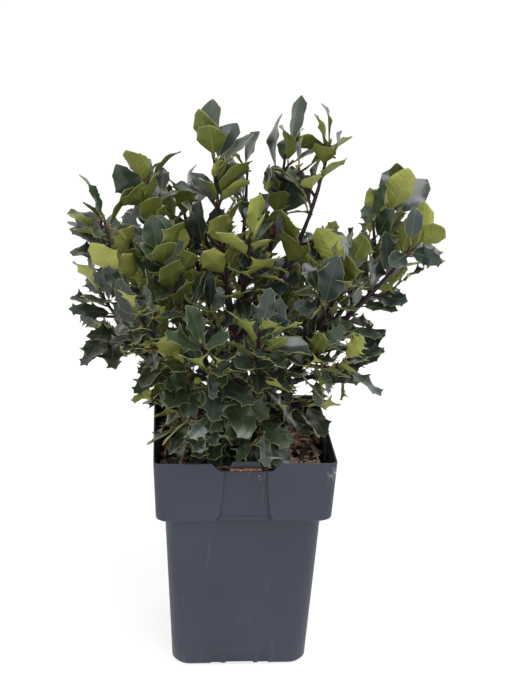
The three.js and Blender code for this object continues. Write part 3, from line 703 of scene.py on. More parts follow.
CROWN = [
    row("top_left", 1, 179, 30, 474, thick=4.2),
    row("outer_right", 0.5, -15, 160, 401, thick=4.2, bow=0.03),
    row("high_left", 0.8, 163, 96, 439, thick=3.8),
    row("mid_left", 0.52, 167, 142, 338, thick=3.8),
    row("inner_right", 0.72, -34, 108, 391, thick=3.6),
    row("back_centre", 0.7, 99, 128, 402, thick=3.8),
    row("back_left", 0.62, 135, 143, 365, thick=3.4),
    row("back_right", 0.6, 51, 135, 362, thick=3.6),
    row("front_left", 0.6, 213, 120, 352, thick=3.4),
    row("front_centre", 0.5, 244, 101, 334, thick=3.2),
    row("front_right", 0.6, 275, 97, 351, thick=3.2),
    row("top_right", 0.16, 29, 40, 478, start="top_left", **{**LEANING, "thick": 3.2}),
    row("far_right_top", 0.25, -8, 70, 482, start="top_left", **LEANING),
    row("high_right", 0.24, 2, 134, 430, start="outer_right", thick=2.8),
    row("low_right", 0.2, -9, 128, 291, start="outer_right", thick=2.8),
    row("mid_right", 0.24, -51, 110, 324, start="inner_right", thick=2.6),
    row("far_left", 0.27, 177, 145, 417, start="high_left", thick=2.8),
    row("inner_left", 0.17, 200, 83, 391, start="high_left", thick=2.6),
    row("shoulder_left", 0.2, 135, 82, 421, start="back_centre", thick=2.6),
    row("low_left", 0.24, 162, 142, 303, start="mid_left", thick=2.6),
    row("centre", 0.3, 277, 38, 402, start="top_left", **LEANING),
    row("back_top", 0.27, 85, 60, 458, start="back_centre", thick=2.8),
    row("core_left", 0.88, 223, 44, 346, **CORE),
    row("core_right", 0.9, 25, 50, 356, **CORE),
    row("bottom_left", 0.28, 160, 93, 250, **LOW),
    row("bottom_right", 0.3, -12, 81, 256, **LOW),
    row("front_low_left", 0.32, 236, 107, 261, **HANGING),
    row("front_low_right", 0.27, 282, 97, 248, **HANGING),
    row("back_low_left", 0.3, 124, 124, 263, **LOW),
    row("back_low_right", 0.34, 60, 129, 267, **LOW),
]

# %% [markdown]
# ## Limbs
#
# A limb is a curve with a radius along it. It starts inside what it leaves, leans out, and
# turns up to the light, so a curve with one bend point is enough. Its first part is the bare
# bough, and the rest is the stem that runs through its mass of leaves.

# %% Lay out the limbs
TIP_REST = 32
LIMB_STEP = 22
CURVE_POINTS = 40
START_SUNK = 3
BOUGH_SHARE = 0.38
SIDE_BOUGH_SHARE = 0.2
STEM_TIP_RADIUS = 1.1
UP = np.array([0.0, 0.0, 1.0])


def unit(vector):
    return vector / np.linalg.norm(vector)


def path_length(path):
    return float(np.linalg.norm(np.diff(path, axis=0), axis=1).sum())


def along(path, distance):
    """The point and the direction at a distance along a path."""
    left = distance
    for i in range(1, len(path)):
        line = path[i] - path[i - 1]
        step = np.linalg.norm(line)
        if left <= step or i == len(path) - 1:
            return path[i - 1] + line / step * min(left, step), line / step
        left -= step


def cut_path(path, start, end, step=LIMB_STEP):
    pieces = max(2, round((end - start) / step))
    return np.array([along(path, start + (end - start) * i / pieces)[0] for i in range(pieces + 1)])


def lay_limb(plan, wholes):
    """The limb's whole curve, and its length up to where its last leaves begin."""
    carrier = wholes[plan["start"]]
    start, _ = along(carrier["path"], min(carrier["length"] * plan["at"], carrier["length"] - START_SUNK))
    angle = math.radians(plan["side"])
    tip = np.array([plan["reach"] * math.cos(angle), plan["reach"] * math.sin(angle), plan["top"]])
    bow = np.array([0.5 + plan["bow"], 0.5 + plan["bow"], 0.5 - plan["bow"]])
    bend = start + (tip - start) * bow
    share = np.linspace(0, 1, CURVE_POINTS + 1)[:, None]
    path = (1 - share) ** 2 * start + 2 * share * (1 - share) * bend + share**2 * tip
    return {"plan": plan, "path": path, "length": path_length(path) - TIP_REST}


trunk_path = np.array([[0, 0, SOIL_TOP + GAP], TRUNK_TOP])
wholes = {"trunk": {"path": trunk_path, "length": path_length(trunk_path)}}
for plan in CROWN:
    wholes[plan["name"]] = lay_limb(plan, wholes)


def fork_of(whole):
    """Where the bare bough ends and the stem of the mass begins."""
    if not whole["plan"]["bough"]:
        return 0
    return whole["length"] * (BOUGH_SHARE if whole["plan"]["start"] == "trunk" else SIDE_BOUGH_SHARE)


def radius_on(whole, distance):
    return between((whole["plan"]["thick"], STEM_TIP_RADIUS), distance / whole["length"])


stems = {}
for plan in CROWN:
    whole = wholes[plan["name"]]
    fork = fork_of(whole)
    stems[plan["name"]] = cut_path(whole["path"], fork + GAP * plan["bough"], whole["length"])
print("limbs", len(CROWN), "longest", round(max(w["length"] for w in wholes.values())), "mm")

# %% [markdown]
# ## Keeping clear
#
# A leaf or twig is only grown where there is room for it: clear of the pot, within the solids'
# box, near its own stem, away from other wood, and with no other blade through its own. It is
# also left out where it would stand before a gap or a bare limb that the photograph shows, so
# that the crown is open in the same places. All of these tests work on whole arrays at once,
# because many thousand places are tried.

# %% Tests for room
BEYOND = 6
BOX_OVER = 5
LEAST_REACH = 58
FROM_STEM = 34
RIM_CLEAR = 2
POT_INSIDE_HALF = 71.4
SPACE_MARGIN = 0.4


def distances(points, starts, ends):
    """How far each point is from each straight length."""
    line = ends - starts
    share = np.einsum("psk,sk->ps", points[:, None] - starts, line) / (line**2).sum(1)
    nearest = starts + np.clip(share, 0, 1)[..., None] * line
    return np.linalg.norm(points[:, None] - nearest, axis=2)


def path_distances(points, path):
    return distances(points, path[:-1], path[1:]).min(axis=1)


class Wood:
    """Every straight length of wood, with its radius and whose it is."""

    def __init__(self):
        self.starts, self.ends, self.radii, self.owners = np.zeros((0, 3)), np.zeros((0, 3)), np.zeros(0), []

    def add(self, path, radius, owner):
        self.starts = np.vstack([self.starts, path[:-1]])
        self.ends = np.vstack([self.ends, path[1:]])
        self.radii = np.concatenate([self.radii, np.full(len(path) - 1, radius)])
        self.owners += [owner] * (len(path) - 1)

    def clear(self, points, clearance, skip=()):
        keep = np.array([owner not in skip for owner in self.owners])
        if not keep.any():
            return True
        gaps = distances(points, self.starts[keep], self.ends[keep]) - self.radii[keep]
        return bool((gaps > clearance).all())


# Gaps where the photo shows sky in and round the crown, read from it: x, z, half width
# and half height, as seen on the plane y = 0.
SKY = np.array([
    # over and between the shoots of the top, from the left
    (-145, 408, 14, 16), (-111, 420, 6, 10), (-70, 442, 12, 8), (-57, 424, 8, 8), (-49, 448, 5, 12),
    (-34, 424, 4, 7), (-29, 435, 5, 6), (8, 430, 5, 20), (5, 405, 4, 7), (31, 432, 6, 6), (48, 428, 5, 7),
    (48, 454, 4, 6), (64, 400, 11, 18), (50, 384, 10, 7), (81, 392, 8, 18), (86, 412, 11, 16),
    (102, 432, 9, 14), (127, 395, 4, 6),
    # under the top leaves
    (-152, 386, 8, 12), (-148, 369, 6, 12), (-108, 397, 5, 6), (-33, 390, 7, 9), (-15, 397, 5, 6),
    (-6, 376, 4, 7), (0, 330, 6, 5), (32, 355, 4, 6), (105, 371, 4, 8), (176, 362, 12, 10),
    (150, 325, 18, 14),
    # at the sides and low down
    (-137, 328, 7, 8), (-113, 303, 8, 5), (-98, 258, 9, 7), (-88, 196, 12, 12), (51, 240, 4, 5),
    (123, 300, 14, 9), (121, 250, 15, 12), (92, 200, 12, 14),
])


def seen_at(points):
    """Where points are seen on the plane y = 0 from the camera's place: x, z, and how near they are."""
    share = -CAMERA_AT[1] / (points[:, 1] - CAMERA_AT[1])
    x = CAMERA_AT[0] + (points[:, 0] - CAMERA_AT[0]) * share
    z = CAMERA_AT[2] + (points[:, 2] - CAMERA_AT[2]) * share
    return np.column_stack([x, z, share])


# Wood that the photo shows: which limb, from and to what share of it. Of each nine steps along
# it six are kept free of leaves, so that a few still grow before it.
BARE = [("outer_right", 0.6, 0.95), ("inner_right", 0.6, 0.76)]
BARE_STEP = 4
BARE_HALF = 3.2
BEFORE = 0.002  # how much nearer the camera's place, as a share of the way, a leaf must be to hide wood
# What is kept free before a stub or a cluster, from its foot.
FREE_BEFORE = [(0, -5, 2), (3, -5, 4), (-3, -5, 4), (0, -5, 6)]
# Stubs left by pruning, and clusters of flower buds: which limb, and how far along it.
STUBS = [("front_left", 0.39, (0.05, -0.85, 0.5), 7, 3.1), ("top_right", 0.46, (-0.25, -0.9, 0.3), 6, 2.6)]
BUD_CLUSTERS = [("front_left", 0.47), ("top_left", 0.22), ("top_right", 0.57)]
shown = []
for name, share in [(stub[0], stub[1]) for stub in STUBS] + BUD_CLUSTERS:
    place = along(wholes[name]["path"], wholes[name]["length"] * share)[0]
    shown += [place + np.array(step) for step in FREE_BEFORE]
for name, low, high in BARE:
    places = np.arange(wholes[name]["length"] * low, wholes[name]["length"] * high, BARE_STEP)
    shown += [along(wholes[name]["path"], place)[0] for i, place in enumerate(places) if i % 9 < 6]
shown = seen_at(np.array(shown))


def in_the_way(points):
    """Whether any point stands in a gap, or before wood that shows, seen from the camera's place."""
    seen = seen_at(points)
    x, z = seen[:, :1], seen[:, 1:2]
    if ((((x - SKY[:, 0]) / SKY[:, 2]) ** 2 + ((z - SKY[:, 1]) / SKY[:, 3]) ** 2) < 1).any():
        return True
    near = (x - shown[:, 0]) ** 2 + (z - shown[:, 1]) ** 2 < BARE_HALF**2
    return bool((near & (seen[:, 2:] > shown[:, 2] + BEFORE)).any())


def above_pot(points):
    out = np.abs(points[:, :2]).max(axis=1)
    floor_here = np.where(out > POT_INSIDE_HALF - RIM_CLEAR, RIM_TOP, SOIL_TOP)
    return bool((points[:, 2] > floor_here + RIM_CLEAR).all())


def in_box(points):
    """Whether the points lie in the solids' box, or only just out of it."""
    low, high = (np.array(corner) / MM for corner in CAD_BOX)
    return bool(((points > low - BOX_OVER) & (points < high + BOX_OVER)).all())


def in_space(points, plan, stranger_by):
    """Whether the points are within the row's reach, and its own or nearly so."""
    angle = math.radians(plan["side"])
    out = points[:, 0] * math.cos(angle) + points[:, 1] * math.sin(angle)
    if (out > max(plan["reach"], LEAST_REACH) + BEYOND).any() or (points[:, 2] > plan["top"] + BEYOND).any():
        return False
    own = path_distances(points, stems[plan["name"]])
    if (own > FROM_STEM).any():
        return False
    other = distances(points, *other_stems[plan["name"]]).min(axis=1)
    return bool((other > own + 2 * SPACE_MARGIN - stranger_by).all())


other_stems = {
    name: (
        np.vstack([path[:-1] for other, path in stems.items() if other != name]),
        np.vstack([path[1:] for other, path in stems.items() if other != name]),
    )
    for name in stems
}


def pierces(lines_from, lines_to, corner_a, corner_b, corner_c):
    """Whether any of the lines passes through any of the triangles."""
    ray = (lines_to - lines_from)[:, None]
    edge_one, edge_two = corner_b - corner_a, corner_c - corner_a
    normal = np.cross(ray, edge_two)
    size = (normal * edge_one).sum(-1)
    size = np.where(np.abs(size) < 1e-9, 1e-9, size)
    offset = lines_from[:, None] - corner_a
    u = (offset * normal).sum(-1) / size
    turned = np.cross(offset, np.broadcast_to(edge_one, offset.shape))
    v = (ray * turned).sum(-1) / size
    t = (turned * edge_two).sum(-1) / size
    return bool(((u >= 0) & (v >= 0) & (u + v <= 1) & (t >= 0) & (t <= 1)).any())


def outline_triangles(outlines):
    """Corners of the triangles round the middle, for outlines whose last point is the middle."""
    edge, heart = outlines[:, :-1], outlines[:, -1:]
    after = np.roll(edge, -1, axis=1)
    return edge.reshape(-1, 3), after.reshape(-1, 3), np.broadcast_to(heart, edge.shape).reshape(-1, 3)


def crosses(outline, others):
    """Whether a blade's outline passes through any of the others'."""
    if not len(others):
        return False
    a, b, c = outline_triangles(outline[None])
    d, e, f = outline_triangles(others)
    if pierces(np.vstack([a, a]), np.vstack([b, c]), d, e, f):
        return True
    return pierces(np.vstack([d, d]), np.vstack([e, f]), a, b, c)


# %% [markdown]
# ## The rule of growth
#
# The rule is the solids' own, carried further. Twigs leave a stem every 22 mm, each turned by
# the golden angle of 137.5 degrees from the one before, and turn up. Here short side shoots
# fill in between them, and sprays reach out to the crown's outline, with end leaves that face
# the front or the back. Leaves stand in a spiral of 144 degrees, splayed wide where a shoot is
# old and close at its end. A leaf that finds no room tries other turns, a narrower spread and
# smaller sizes before it is left out. Last, smaller leaves fill the room that is still there.

# %% Twigs and shoots
GOLDEN_TURN = 137.5
TWIG_STEP = 22
TWIG_RADIUS = 1.5
TWIG_SPREAD = (40, 54)
TWIG_LENGTH = (26, 46)
TWIG_TRIES = (1, 0.6)
TWIG_RISE = 0.3
TWIG_CLEAR = 1.2
TWIG_APART = 2 * TWIG_RADIUS + TWIG_CLEAR
TWIG_RADII = (1.45, 1.0)
SHOOT_LENGTH = (13, 22)
SHOOT_RADII = (1.0, 0.8)
SHOOT_CLEAR = 3
SHOOT_APART = 4
BARE_TIP = {"stem": 12, "twig": 8, "leaf": 4}  # no twig, shoot or leaf starts so near the end
SHOOT_FROM = 14
SHOOT_STEP = 15
FIRST_LEAF = 9
FIRST_LEAF_ON_CORE = 30
FIRST_ON_TWIG = 8
FIRST_ON_SHOOT = 6


def first_leaf(plan):
    """How far along a stem its first leaf or twig is: further where no bare bough comes before."""
    return FIRST_LEAF if plan["bough"] else FIRST_LEAF_ON_CORE


def across_of(heading):
    """Two directions at right angles to a heading."""
    first = unit(np.cross(UP if abs(heading[2]) < 0.9 else np.array([1.0, 0.0, 0.0]), heading))
    return first, np.cross(heading, first)


def leave_stem(heading, turn, spread):
    first, second = across_of(heading)
    out = first * math.cos(math.radians(turn)) + second * math.sin(math.radians(turn))
    return heading * math.cos(math.radians(spread)) + out * math.sin(math.radians(spread))


def bent_twig(point, heading, turn, spread, length):
    direction = leave_stem(heading, turn, spread)
    middle = point + direction * length / 2
    return np.array([point, middle, middle + unit(direction + UP * TWIG_RISE) * length / 2])


def twig_probes(twig):
    point, middle, end = twig
    return np.array([middle, end, (middle + end) / 2, point + (middle - point) * 0.7])


def apart_from(paths, probes, least):
    """Whether all the points are further from each path than the least distance."""
    return all((path_distances(probes, path) > least).all() for path in paths)


def grow_twigs(plan, number, wood):
    """The twigs of one mass, the same as in the solids."""
    name, stem = plan["name"], stems[plan["name"]]
    twigs = []
    turn = number() * 360
    distance = first_leaf(plan)
    while distance < path_length(stem) - BARE_TIP["stem"]:
        turn += GOLDEN_TURN
        spread, length = between(TWIG_SPREAD, number()), between(TWIG_LENGTH, number())
        point, heading = along(stem, distance)
        for share in TWIG_TRIES:
            twig = bent_twig(point, heading, turn, spread, length * share)
            probes = twig_probes(twig)
            clear = wood.clear(probes, TWIG_CLEAR + TWIG_RADIUS, (name,)) and above_pot(probes)
            if clear and apart_from(twigs, probes, TWIG_APART) and in_space(probes, plan, 0):
                twigs.append(twig)
                break
        distance += TWIG_STEP
    return twigs


def grow_shoots(plan, carriers, number, wood):
    """Short leafy shoots on the stem and twigs, between the twigs that are there."""
    shoots = []
    for path, start, step in carriers:
        turn = number() * 360
        distance = start
        while distance < path_length(path) - BARE_TIP["twig"]:
            turn += GOLDEN_TURN
            spread, length = between(TWIG_SPREAD, number()), between(SHOOT_LENGTH, number())
            shoot = bent_twig(*along(path, distance), turn, spread, length)
            probes = twig_probes(shoot)
            clear = above_pot(probes) and not in_the_way(probes)
            clear = clear and wood.clear(probes, SHOOT_CLEAR, (plan["name"],))
            if clear and apart_from(shoots, probes, SHOOT_APART) and in_space(probes, plan, STRANGER_BY):
                shoots.append(shoot)
            distance += step
    return shoots


# %% Where leaves grow
LEAF_TURN = 144
LEAF_STEP = 8.6
LEAF_LENGTH = 48  # with its stalk
LEAF_WIDTH = 30
LEAF_SUNK = 0.6
LEAF_SPREAD = (54, 34)
LEAF_SIZE = (0.78, 1.04)
INNER_STARTS = (10, 6)  # where smaller leaves start, which fill the room that is left
INNER_SIZE = (0.6, 0.8)
END_LEAVES = 3
END_BACK = 1  # how far before the path's end its last leaf is
END_STEP = 2.2
END_SPREAD = 9
END_SPREAD_STEP = 14
END_SIZE = (0.8, 1.04)
FACE_UP = 0.22
LOW_DROOP = 0.6
DROOP_BELOW = 340
DROOP_OVER = 90
LEAF_CLEAR = 0.9
LEAF_ROLL = 50
SPRAY_ROLL = 24  # the leaves that make the outline face the front or the back
FRONT = np.array([0.0, -1.0, 0.0])
LEAF_APART = 10.5
LEAF_TURNS = (0, 40, -40, 80, -80)
LEAF_SPREADS = (1, 0.62)
LEAF_SHARES = (1, 0.86, 0.74)
STRANGER_BY = 9  # how far a shoot or leaf may grow into a neighbour's space
STEM_TOUCH = 1.6
# Half of the outline that stands for a leaf in the tests: shares of length, width, and lift.
OUTLINE_HALF = [(0.3, 0.46, 0.05), (0.47, 0.44, 0.0), (0.69, 0.4, 0.03)]
OUTLINE_HEART = (0.42, 0, -0.03)

outline = np.array(
    [(0.08, 0, 0)]
    + [(length, -width, lift) for length, width, lift in OUTLINE_HALF]
    + [(1, 0, -0.07)]
    + OUTLINE_HALF[::-1]
    + [OUTLINE_HEART]
)
heart = outline[-1]
probe_shape = np.vstack([heart] + [heart + (outline[1:-1] - heart) * share for share in (1, 0.66, 0.33)])


def droop_at(plan, point):
    """Leaves low on the plant hang more, to get out of each other's shade."""
    return plan["droop"] + LOW_DROOP * float(np.clip((DROOP_BELOW - point[2]) / DROOP_OVER, 0, 1))


def leaf_frame(heading, turn, spread, roll, droop):
    """The way a leaf points, and the way its upper face looks."""
    direction = leave_stem(heading, turn, spread)
    direction[2] -= droop
    direction = unit(direction)
    face = heading + UP * (FACE_UP + droop)
    face = unit(face - direction * face.dot(direction))
    tilt = math.radians(roll)
    return direction, face * math.cos(tilt) + np.cross(direction, face) * math.sin(tilt)


def place_shape(shape, foot, direction, face, size):
    """Points given as shares of a leaf's length, width and lift, put in place."""
    across = np.cross(face, direction)
    sizes = np.array([LEAF_LENGTH, LEAF_WIDTH, LEAF_LENGTH]) * size
    return foot + (shape * sizes) @ np.array([direction, across, face])


class Leaves:
    """Every leaf so far: its frame for building it, and its outline for the tests."""

    def __init__(self):
        self.made = []
        self.hearts = np.zeros((0, 3))
        self.outlines = np.zeros((0, len(outline), 3))

    def add(self, leaf, points):
        self.made.append(leaf)
        self.hearts = np.vstack([self.hearts, points[-1:]])
        self.outlines = np.vstack([self.outlines, points[None]])

    def room(self, points):
        away = np.linalg.norm(self.hearts - points[-1], axis=1)
        if (away < LEAF_APART).any():
            return False
        return not crosses(points, self.outlines[away < LEAF_LENGTH])


def turn_to(heading, way):
    """The turn round a heading that comes nearest to a way."""
    first, second = across_of(heading)
    return math.degrees(math.atan2(second.dot(way), first.dot(way)))


def try_leaf(plan, path, kind, distance, turn, spread, size, number, wood, leaves):
    """Grows a leaf at the first of several turns, spreads and sizes at which it has room."""
    roll = (2 * number() - 1) * (SPRAY_ROLL if kind == "spray" else LEAF_ROLL)
    point, heading = along(path, distance)
    stem, droop = stems[plan["name"]], droop_at(plan, point)
    for share in LEAF_SHARES:
        for spread_share in LEAF_SPREADS:
            for turn_by in LEAF_TURNS:
                direction, face = leaf_frame(heading, turn + turn_by, spread * spread_share, roll, droop)
                foot = point - direction * LEAF_SUNK
                frame_of = (foot, direction, face, size * share)
                heart = place_shape(outline[-1:], *frame_of)[0]
                if (np.linalg.norm(leaves.hearts - heart, axis=1) < LEAF_APART).any():
                    continue
                probes = place_shape(probe_shape, *frame_of)
                if not above_pot(probes) or not in_box(probes) or in_the_way(probes):
                    continue
                if kind != "spray" and not in_space(probes, plan, STRANGER_BY):
                    continue
                if kind not in ("stem", "spray") and (path_distances(probes, stem) < STEM_TOUCH).any():
                    continue
                if not wood.clear(probes, LEAF_CLEAR, (plan["name"],)):
                    continue
                points = place_shape(outline, *frame_of)
                if leaves.room(points):
                    leaves.add({"plan": plan, "frame": frame_of, "kind": kind, "path": path}, points)
                    bearing[path.tobytes()] = max(bearing.get(path.tobytes(), 0), distance)
                    return


def leaf_path(plan, path, kind, start, number, wood, leaves, sizes=LEAF_SIZE, end_leaves=END_LEAVES):
    """Leaves in a spiral along a path, and a few close together at its end."""
    total = path_length(path)
    turn = number() * 360
    distance = start
    while distance < total - BARE_TIP["leaf"]:
        turn += LEAF_TURN
        spread, size = between(LEAF_SPREAD, distance / total), between(sizes, number())
        try_leaf(plan, path, kind, distance, turn, spread, size, number, wood, leaves)
        distance += LEAF_STEP
    if kind == "spray":
        turn = turn_to(along(path, total)[1], FRONT) - LEAF_TURN
    last = "spray" if kind == "spray" else "end"
    for k in range(end_leaves):
        turn += LEAF_TURN
        distance = total - END_BACK - END_STEP * k
        spread, size = END_SPREAD + END_SPREAD_STEP * k, between(END_SIZE, number())
        try_leaf(plan, path, last, distance, turn, spread, size, number, wood, leaves)


# %% [markdown]
# ## Growing the crown
#
# What grows first has the first choice of room, so the order matters: the solids' twigs, then
# the sprays with their leaves, the short shoots, the leaves of every mass, and the small leaves
# that fill in. The sprays are placed after the photograph, and each grows from a stem, so it
# holds from any side.

# %% Grow the crown
# Shoots whose leaves make the crown's outline and front: what mass each leaves, how far along its
# stem, and where its leaves end.
SPRAYS = [
    ("high_right", 0.72, (126, 4, 435)),
    ("high_right", 0.85, (150, 0, 421)),
    ("outer_right", 0.82, (141, -8, 388)),
    ("outer_right", 0.9, (156, -8, 380)),
    ("far_left", 0.6, (-124, 16, 424)),
    ("far_left", 0.8, (-126, 12, 392)),
    ("high_left", 0.8, (-105, 12, 412)),
    ("high_left", 0.9, (-87, 14, 441)),
    ("high_left", 0.95, (-54, 20, 440)),
    ("mid_left", 0.85, (-135, 14, 350)),
    ("top_left", 0.9, (-38, 2, 470)),
    ("top_left", 0.85, (-22, 0, 470)),
    ("top_left", 0.8, (-8, 2, 470)),
    ("top_left", 0.6, (-6, -8, 438)),
    ("far_right_top", 0.6, (14, 4, 455)),
    ("top_right", 0.9, (68, 8, 474)),
    ("top_right", 0.7, (83, 4, 450)),
    ("far_right_top", 0.75, (36, 2, 450)),
    ("top_right", 0.8, (62, 2, 462)),
    ("centre", 0.8, (10, -14, 414)),
    ("inner_right", 0.8, (72, -10, 384)),
    ("low_left", 0.8, (-136, -8, 296)),
    ("low_left", 0.6, (-106, -14, 266)),
    ("front_low_left", 0.6, (-97, -42, 250)),
    ("bottom_right", 0.8, (92, -24, 254)),
    ("mid_right", 0.6, (71, -45, 308)),
    ("mid_right", 0.4, (56, -60, 297)),
    ("low_right", 0.5, (87, -25, 284)),
    ("low_right", 0.7, (104, -24, 302)),
    ("low_right", 0.6, (97, -32, 276)),
    ("front_right", 0.15, (46, -58, 250)),
    ("front_right", 0.6, (39, -76, 310)),
    ("front_centre", 0.5, (-3, -82, 310)),
    ("front_centre", 0.35, (0, -86, 288)),
    ("front_right", 0.35, (33, -84, 290)),
    ("front_left", 0.4, (-56, -78, 286)),
    ("front_centre", 0.6, (-24, -86, 296)),
    ("front_right", 0.2, (60, -62, 264)),
    ("front_centre", 0.2, (11, -84, 262)),
    ("front_centre", 0.1, (-6, -72, 243)),
    ("front_right", 0.1, (26, -72, 244)),
    ("front_left", 0.1, (-47, -62, 238)),
    ("front_low_left", 0.4, (-26, -72, 238)),
    ("front_low_right", 0.5, (47, -60, 234)),
    ("front_low_right", 0.35, (42, -64, 206)),
    ("front_low_right", 0.2, (8, -60, 204)),
    ("front_low_left", 0.25, (-14, -62, 216)),
    ("front_low_left", 0.3, (-46, -52, 212)),
    ("back_centre", 0.15, (4, 80, 268)),
    ("back_centre", 0.1, (18, 70, 236)),
    ("back_left", 0.15, (-42, 74, 262)),
    ("back_right", 0.15, (52, 72, 266)),
    ("back_low_left", 0.35, (-30, 66, 228)),
    ("back_low_right", 0.3, (46, 64, 232)),
    ("back_low_left", 0.5, (-66, 60, 240)),
]
SPRAY_LEAF = 43  # how far a spray's leaves reach beyond its wood
SPRAY_LEAST = 9
# Each mass and each spray grows from streams of numbers of its own, with these seeds and up.
SEEDS = {"twigs": 1, "shoots": 101, "leaves": 201, "sprays": 301, "inner": 401}
bearing = {}  # how far along each path its last leaf is
wood = Wood()
wood.add(trunk_path, TRUNK_RADII[0], "trunk")
for plan in CROWN:
    whole = wholes[plan["name"]]
    fork = fork_of(whole)
    if fork:
        wood.add(cut_path(whole["path"], 0, fork), plan["thick"], "bough_" + plan["name"])
    wood.add(stems[plan["name"]], radius_on(whole, fork), plan["name"])

twigs, shoots = {}, {}
for i, plan in enumerate(CROWN):
    twigs[plan["name"]] = grow_twigs(plan, numbers_from(i + SEEDS["twigs"]), wood)
for plan in CROWN:
    for twig in twigs[plan["name"]]:
        wood.add(twig, TWIG_RADII[0], plan["name"])
leaves = Leaves()
sprays = []
for i, (name, share, tip) in enumerate(SPRAYS):
    point, heading = along(stems[name], path_length(stems[name]) * share)
    away = np.array(tip) - point
    length = max(np.linalg.norm(away) - SPRAY_LEAF, SPRAY_LEAST)
    bend = point + unit(unit(away) + 0.5 * heading) * length / 2
    spray = np.array([point, bend, bend + unit(np.array(tip) - bend) * length / 2])
    number = numbers_from(i + SEEDS["sprays"])
    leaf_path(wholes[name]["plan"], spray, "spray", SPRAY_LEAST, number, wood, leaves)
    sprays.append((name, spray))
for i, plan in enumerate(CROWN):
    number = numbers_from(i + SEEDS["shoots"])
    name = plan["name"]
    carriers = [(stems[name], first_leaf(plan) + TWIG_STEP / 2, TWIG_STEP)]
    carriers += [(twig, SHOOT_FROM, SHOOT_STEP) for twig in twigs[name]]
    shoots[name] = grow_shoots(plan, carriers, number, wood)
    for shoot in shoots[name]:
        wood.add(shoot, SHOOT_RADII[0], name)
for i, plan in enumerate(CROWN):
    number = numbers_from(i + SEEDS["leaves"])
    name = plan["name"]
    leaf_path(plan, stems[name], "stem", first_leaf(plan), number, wood, leaves)
    for twig in twigs[name]:
        leaf_path(plan, twig, "twig", FIRST_ON_TWIG, number, wood, leaves)
    for shoot in shoots[name]:
        leaf_path(plan, shoot, "shoot", FIRST_ON_SHOOT, number, wood, leaves)
for i, plan in enumerate(CROWN):
    number = numbers_from(i + SEEDS["inner"])
    name = plan["name"]
    for path in [stems[name], *twigs[name], *shoots[name]]:
        for start in INNER_STARTS:
            kind = "stem" if path is stems[name] else "twig"
            leaf_path(plan, path, kind, start, number, wood, leaves, INNER_SIZE, end_leaves=0)
counts = [sum(map(len, grown.values())) for grown in (twigs, shoots)]
print("leaves", len(leaves.made), "twigs", counts[0], "shoots", counts[1])

# %% [markdown]
# ## Wood
#
# Holly bark is thin and smooth, dark purple-brown on young limbs, with a grey-green film and
# small corky pores. A modeller could sweep a curve; here rings of points are swept along each
# path, so that swollen collars, leaf scars and a slightly uneven round can be put in as a
# change of radius at each ring.

# %% Sweep a limb or twig
COLLAR_SWELL = 0.45
COLLAR_LENGTH = 6


def frames_along(path):
    """Two directions across a path at each of its points, turning as little as they can."""
    headings = np.gradient(path, axis=0)
    headings /= np.linalg.norm(headings, axis=1)[:, None]
    first, _ = across_of(headings[0])
    firsts = []
    for heading in headings:
        first = unit(first - heading * first.dot(heading))
        firsts.append(first)
    firsts = np.array(firsts)
    return firsts, np.cross(headings, firsts)


def sweep(path, radii, sides):
    """Points and faces of a closed limb: radii is one per ring, or rings by sides."""
    firsts, seconds = frames_along(path)
    angles = np.arange(sides) * 2 * math.pi / sides
    across, beyond = np.cos(angles)[None, :, None], np.sin(angles)[None, :, None]
    round_way = across * firsts[:, None] + beyond * seconds[:, None]
    radii = np.asarray(radii)
    points = path[:, None] + round_way * (radii if radii.ndim == 2 else radii[:, None])[..., None]
    return points.reshape(-1, 3), ring_faces(len(path), sides)


def join(meshes):
    """One list of points and one of faces from several meshes."""
    points, faces, first = [], [], 0
    for some_points, some_faces in meshes:
        points.append(some_points)
        faces += [tuple(corner + first for corner in face) for face in some_faces]
        first += len(some_points)
    return np.vstack(points), faces


def smooth_path(path, step):
    """The same curve with points a small step apart."""
    count = max(3, round(path_length(path) / step))
    return np.array([along(path, path_length(path) * i / count)[0] for i in range(count + 1)])


# %% Materials of the wood
def young_bark(name, dark, film_colour):
    """Smooth dark bark with a green film in patches, fine wrinkles and pale pores."""
    material = start_material(name)
    place = place_on(material)
    film = remap(material, noise(material, place, 90.0, 4.0), 0.52, 0.68)
    colour = blend(material, film, linear(dark), linear(film_colour))
    cells = add_node(material, "ShaderNodeTexVoronoi", {"Vector": place, "Scale": 420.0})
    pores = remap(material, cells.outputs["Distance"], 0.1, 0.2, 0.6, 0.0)
    colour = blend(material, pores, colour, linear("#776a5a"))
    wrinkles = relief(material, noise(material, place, 700.0, 3.0, 0.7), 0.4, 0.4)
    return close_material(material, colour, 0.62, wrinkles, IOR=1.45)


def plain_skin(name, colour, roughness, grain=1100.0, strength=0.4):
    """One colour with a fine grain: the skin of this year's shoots, of buds and of cut wood."""
    material = start_material(name)
    bumps = relief(material, noise(material, place_on(material), grain), strength, 0.2)
    return close_material(material, linear(colour), roughness, bumps, IOR=1.45)


# %% Make the trunk and the boughs
TRUNK_SUNK = 2
FLARE_HEIGHT = 11
FLARE_RADIUS = 4.5
FLARE_LOBES = 3
BARK_WAVES = (2, 3, 5)
BARK_RELIEF = 0.352  # each wave's height is this over how many of them go round
SCAR_EVERY = 9
SCAR_HEIGHT = 0.35
SCAR_HALF = 0.9
BARK_SIDES = 16
BARK_STEP = 1.6
BOUGH_OVER = 2  # how far a bough runs on into the stem of its mass
BARK_SEED = 31


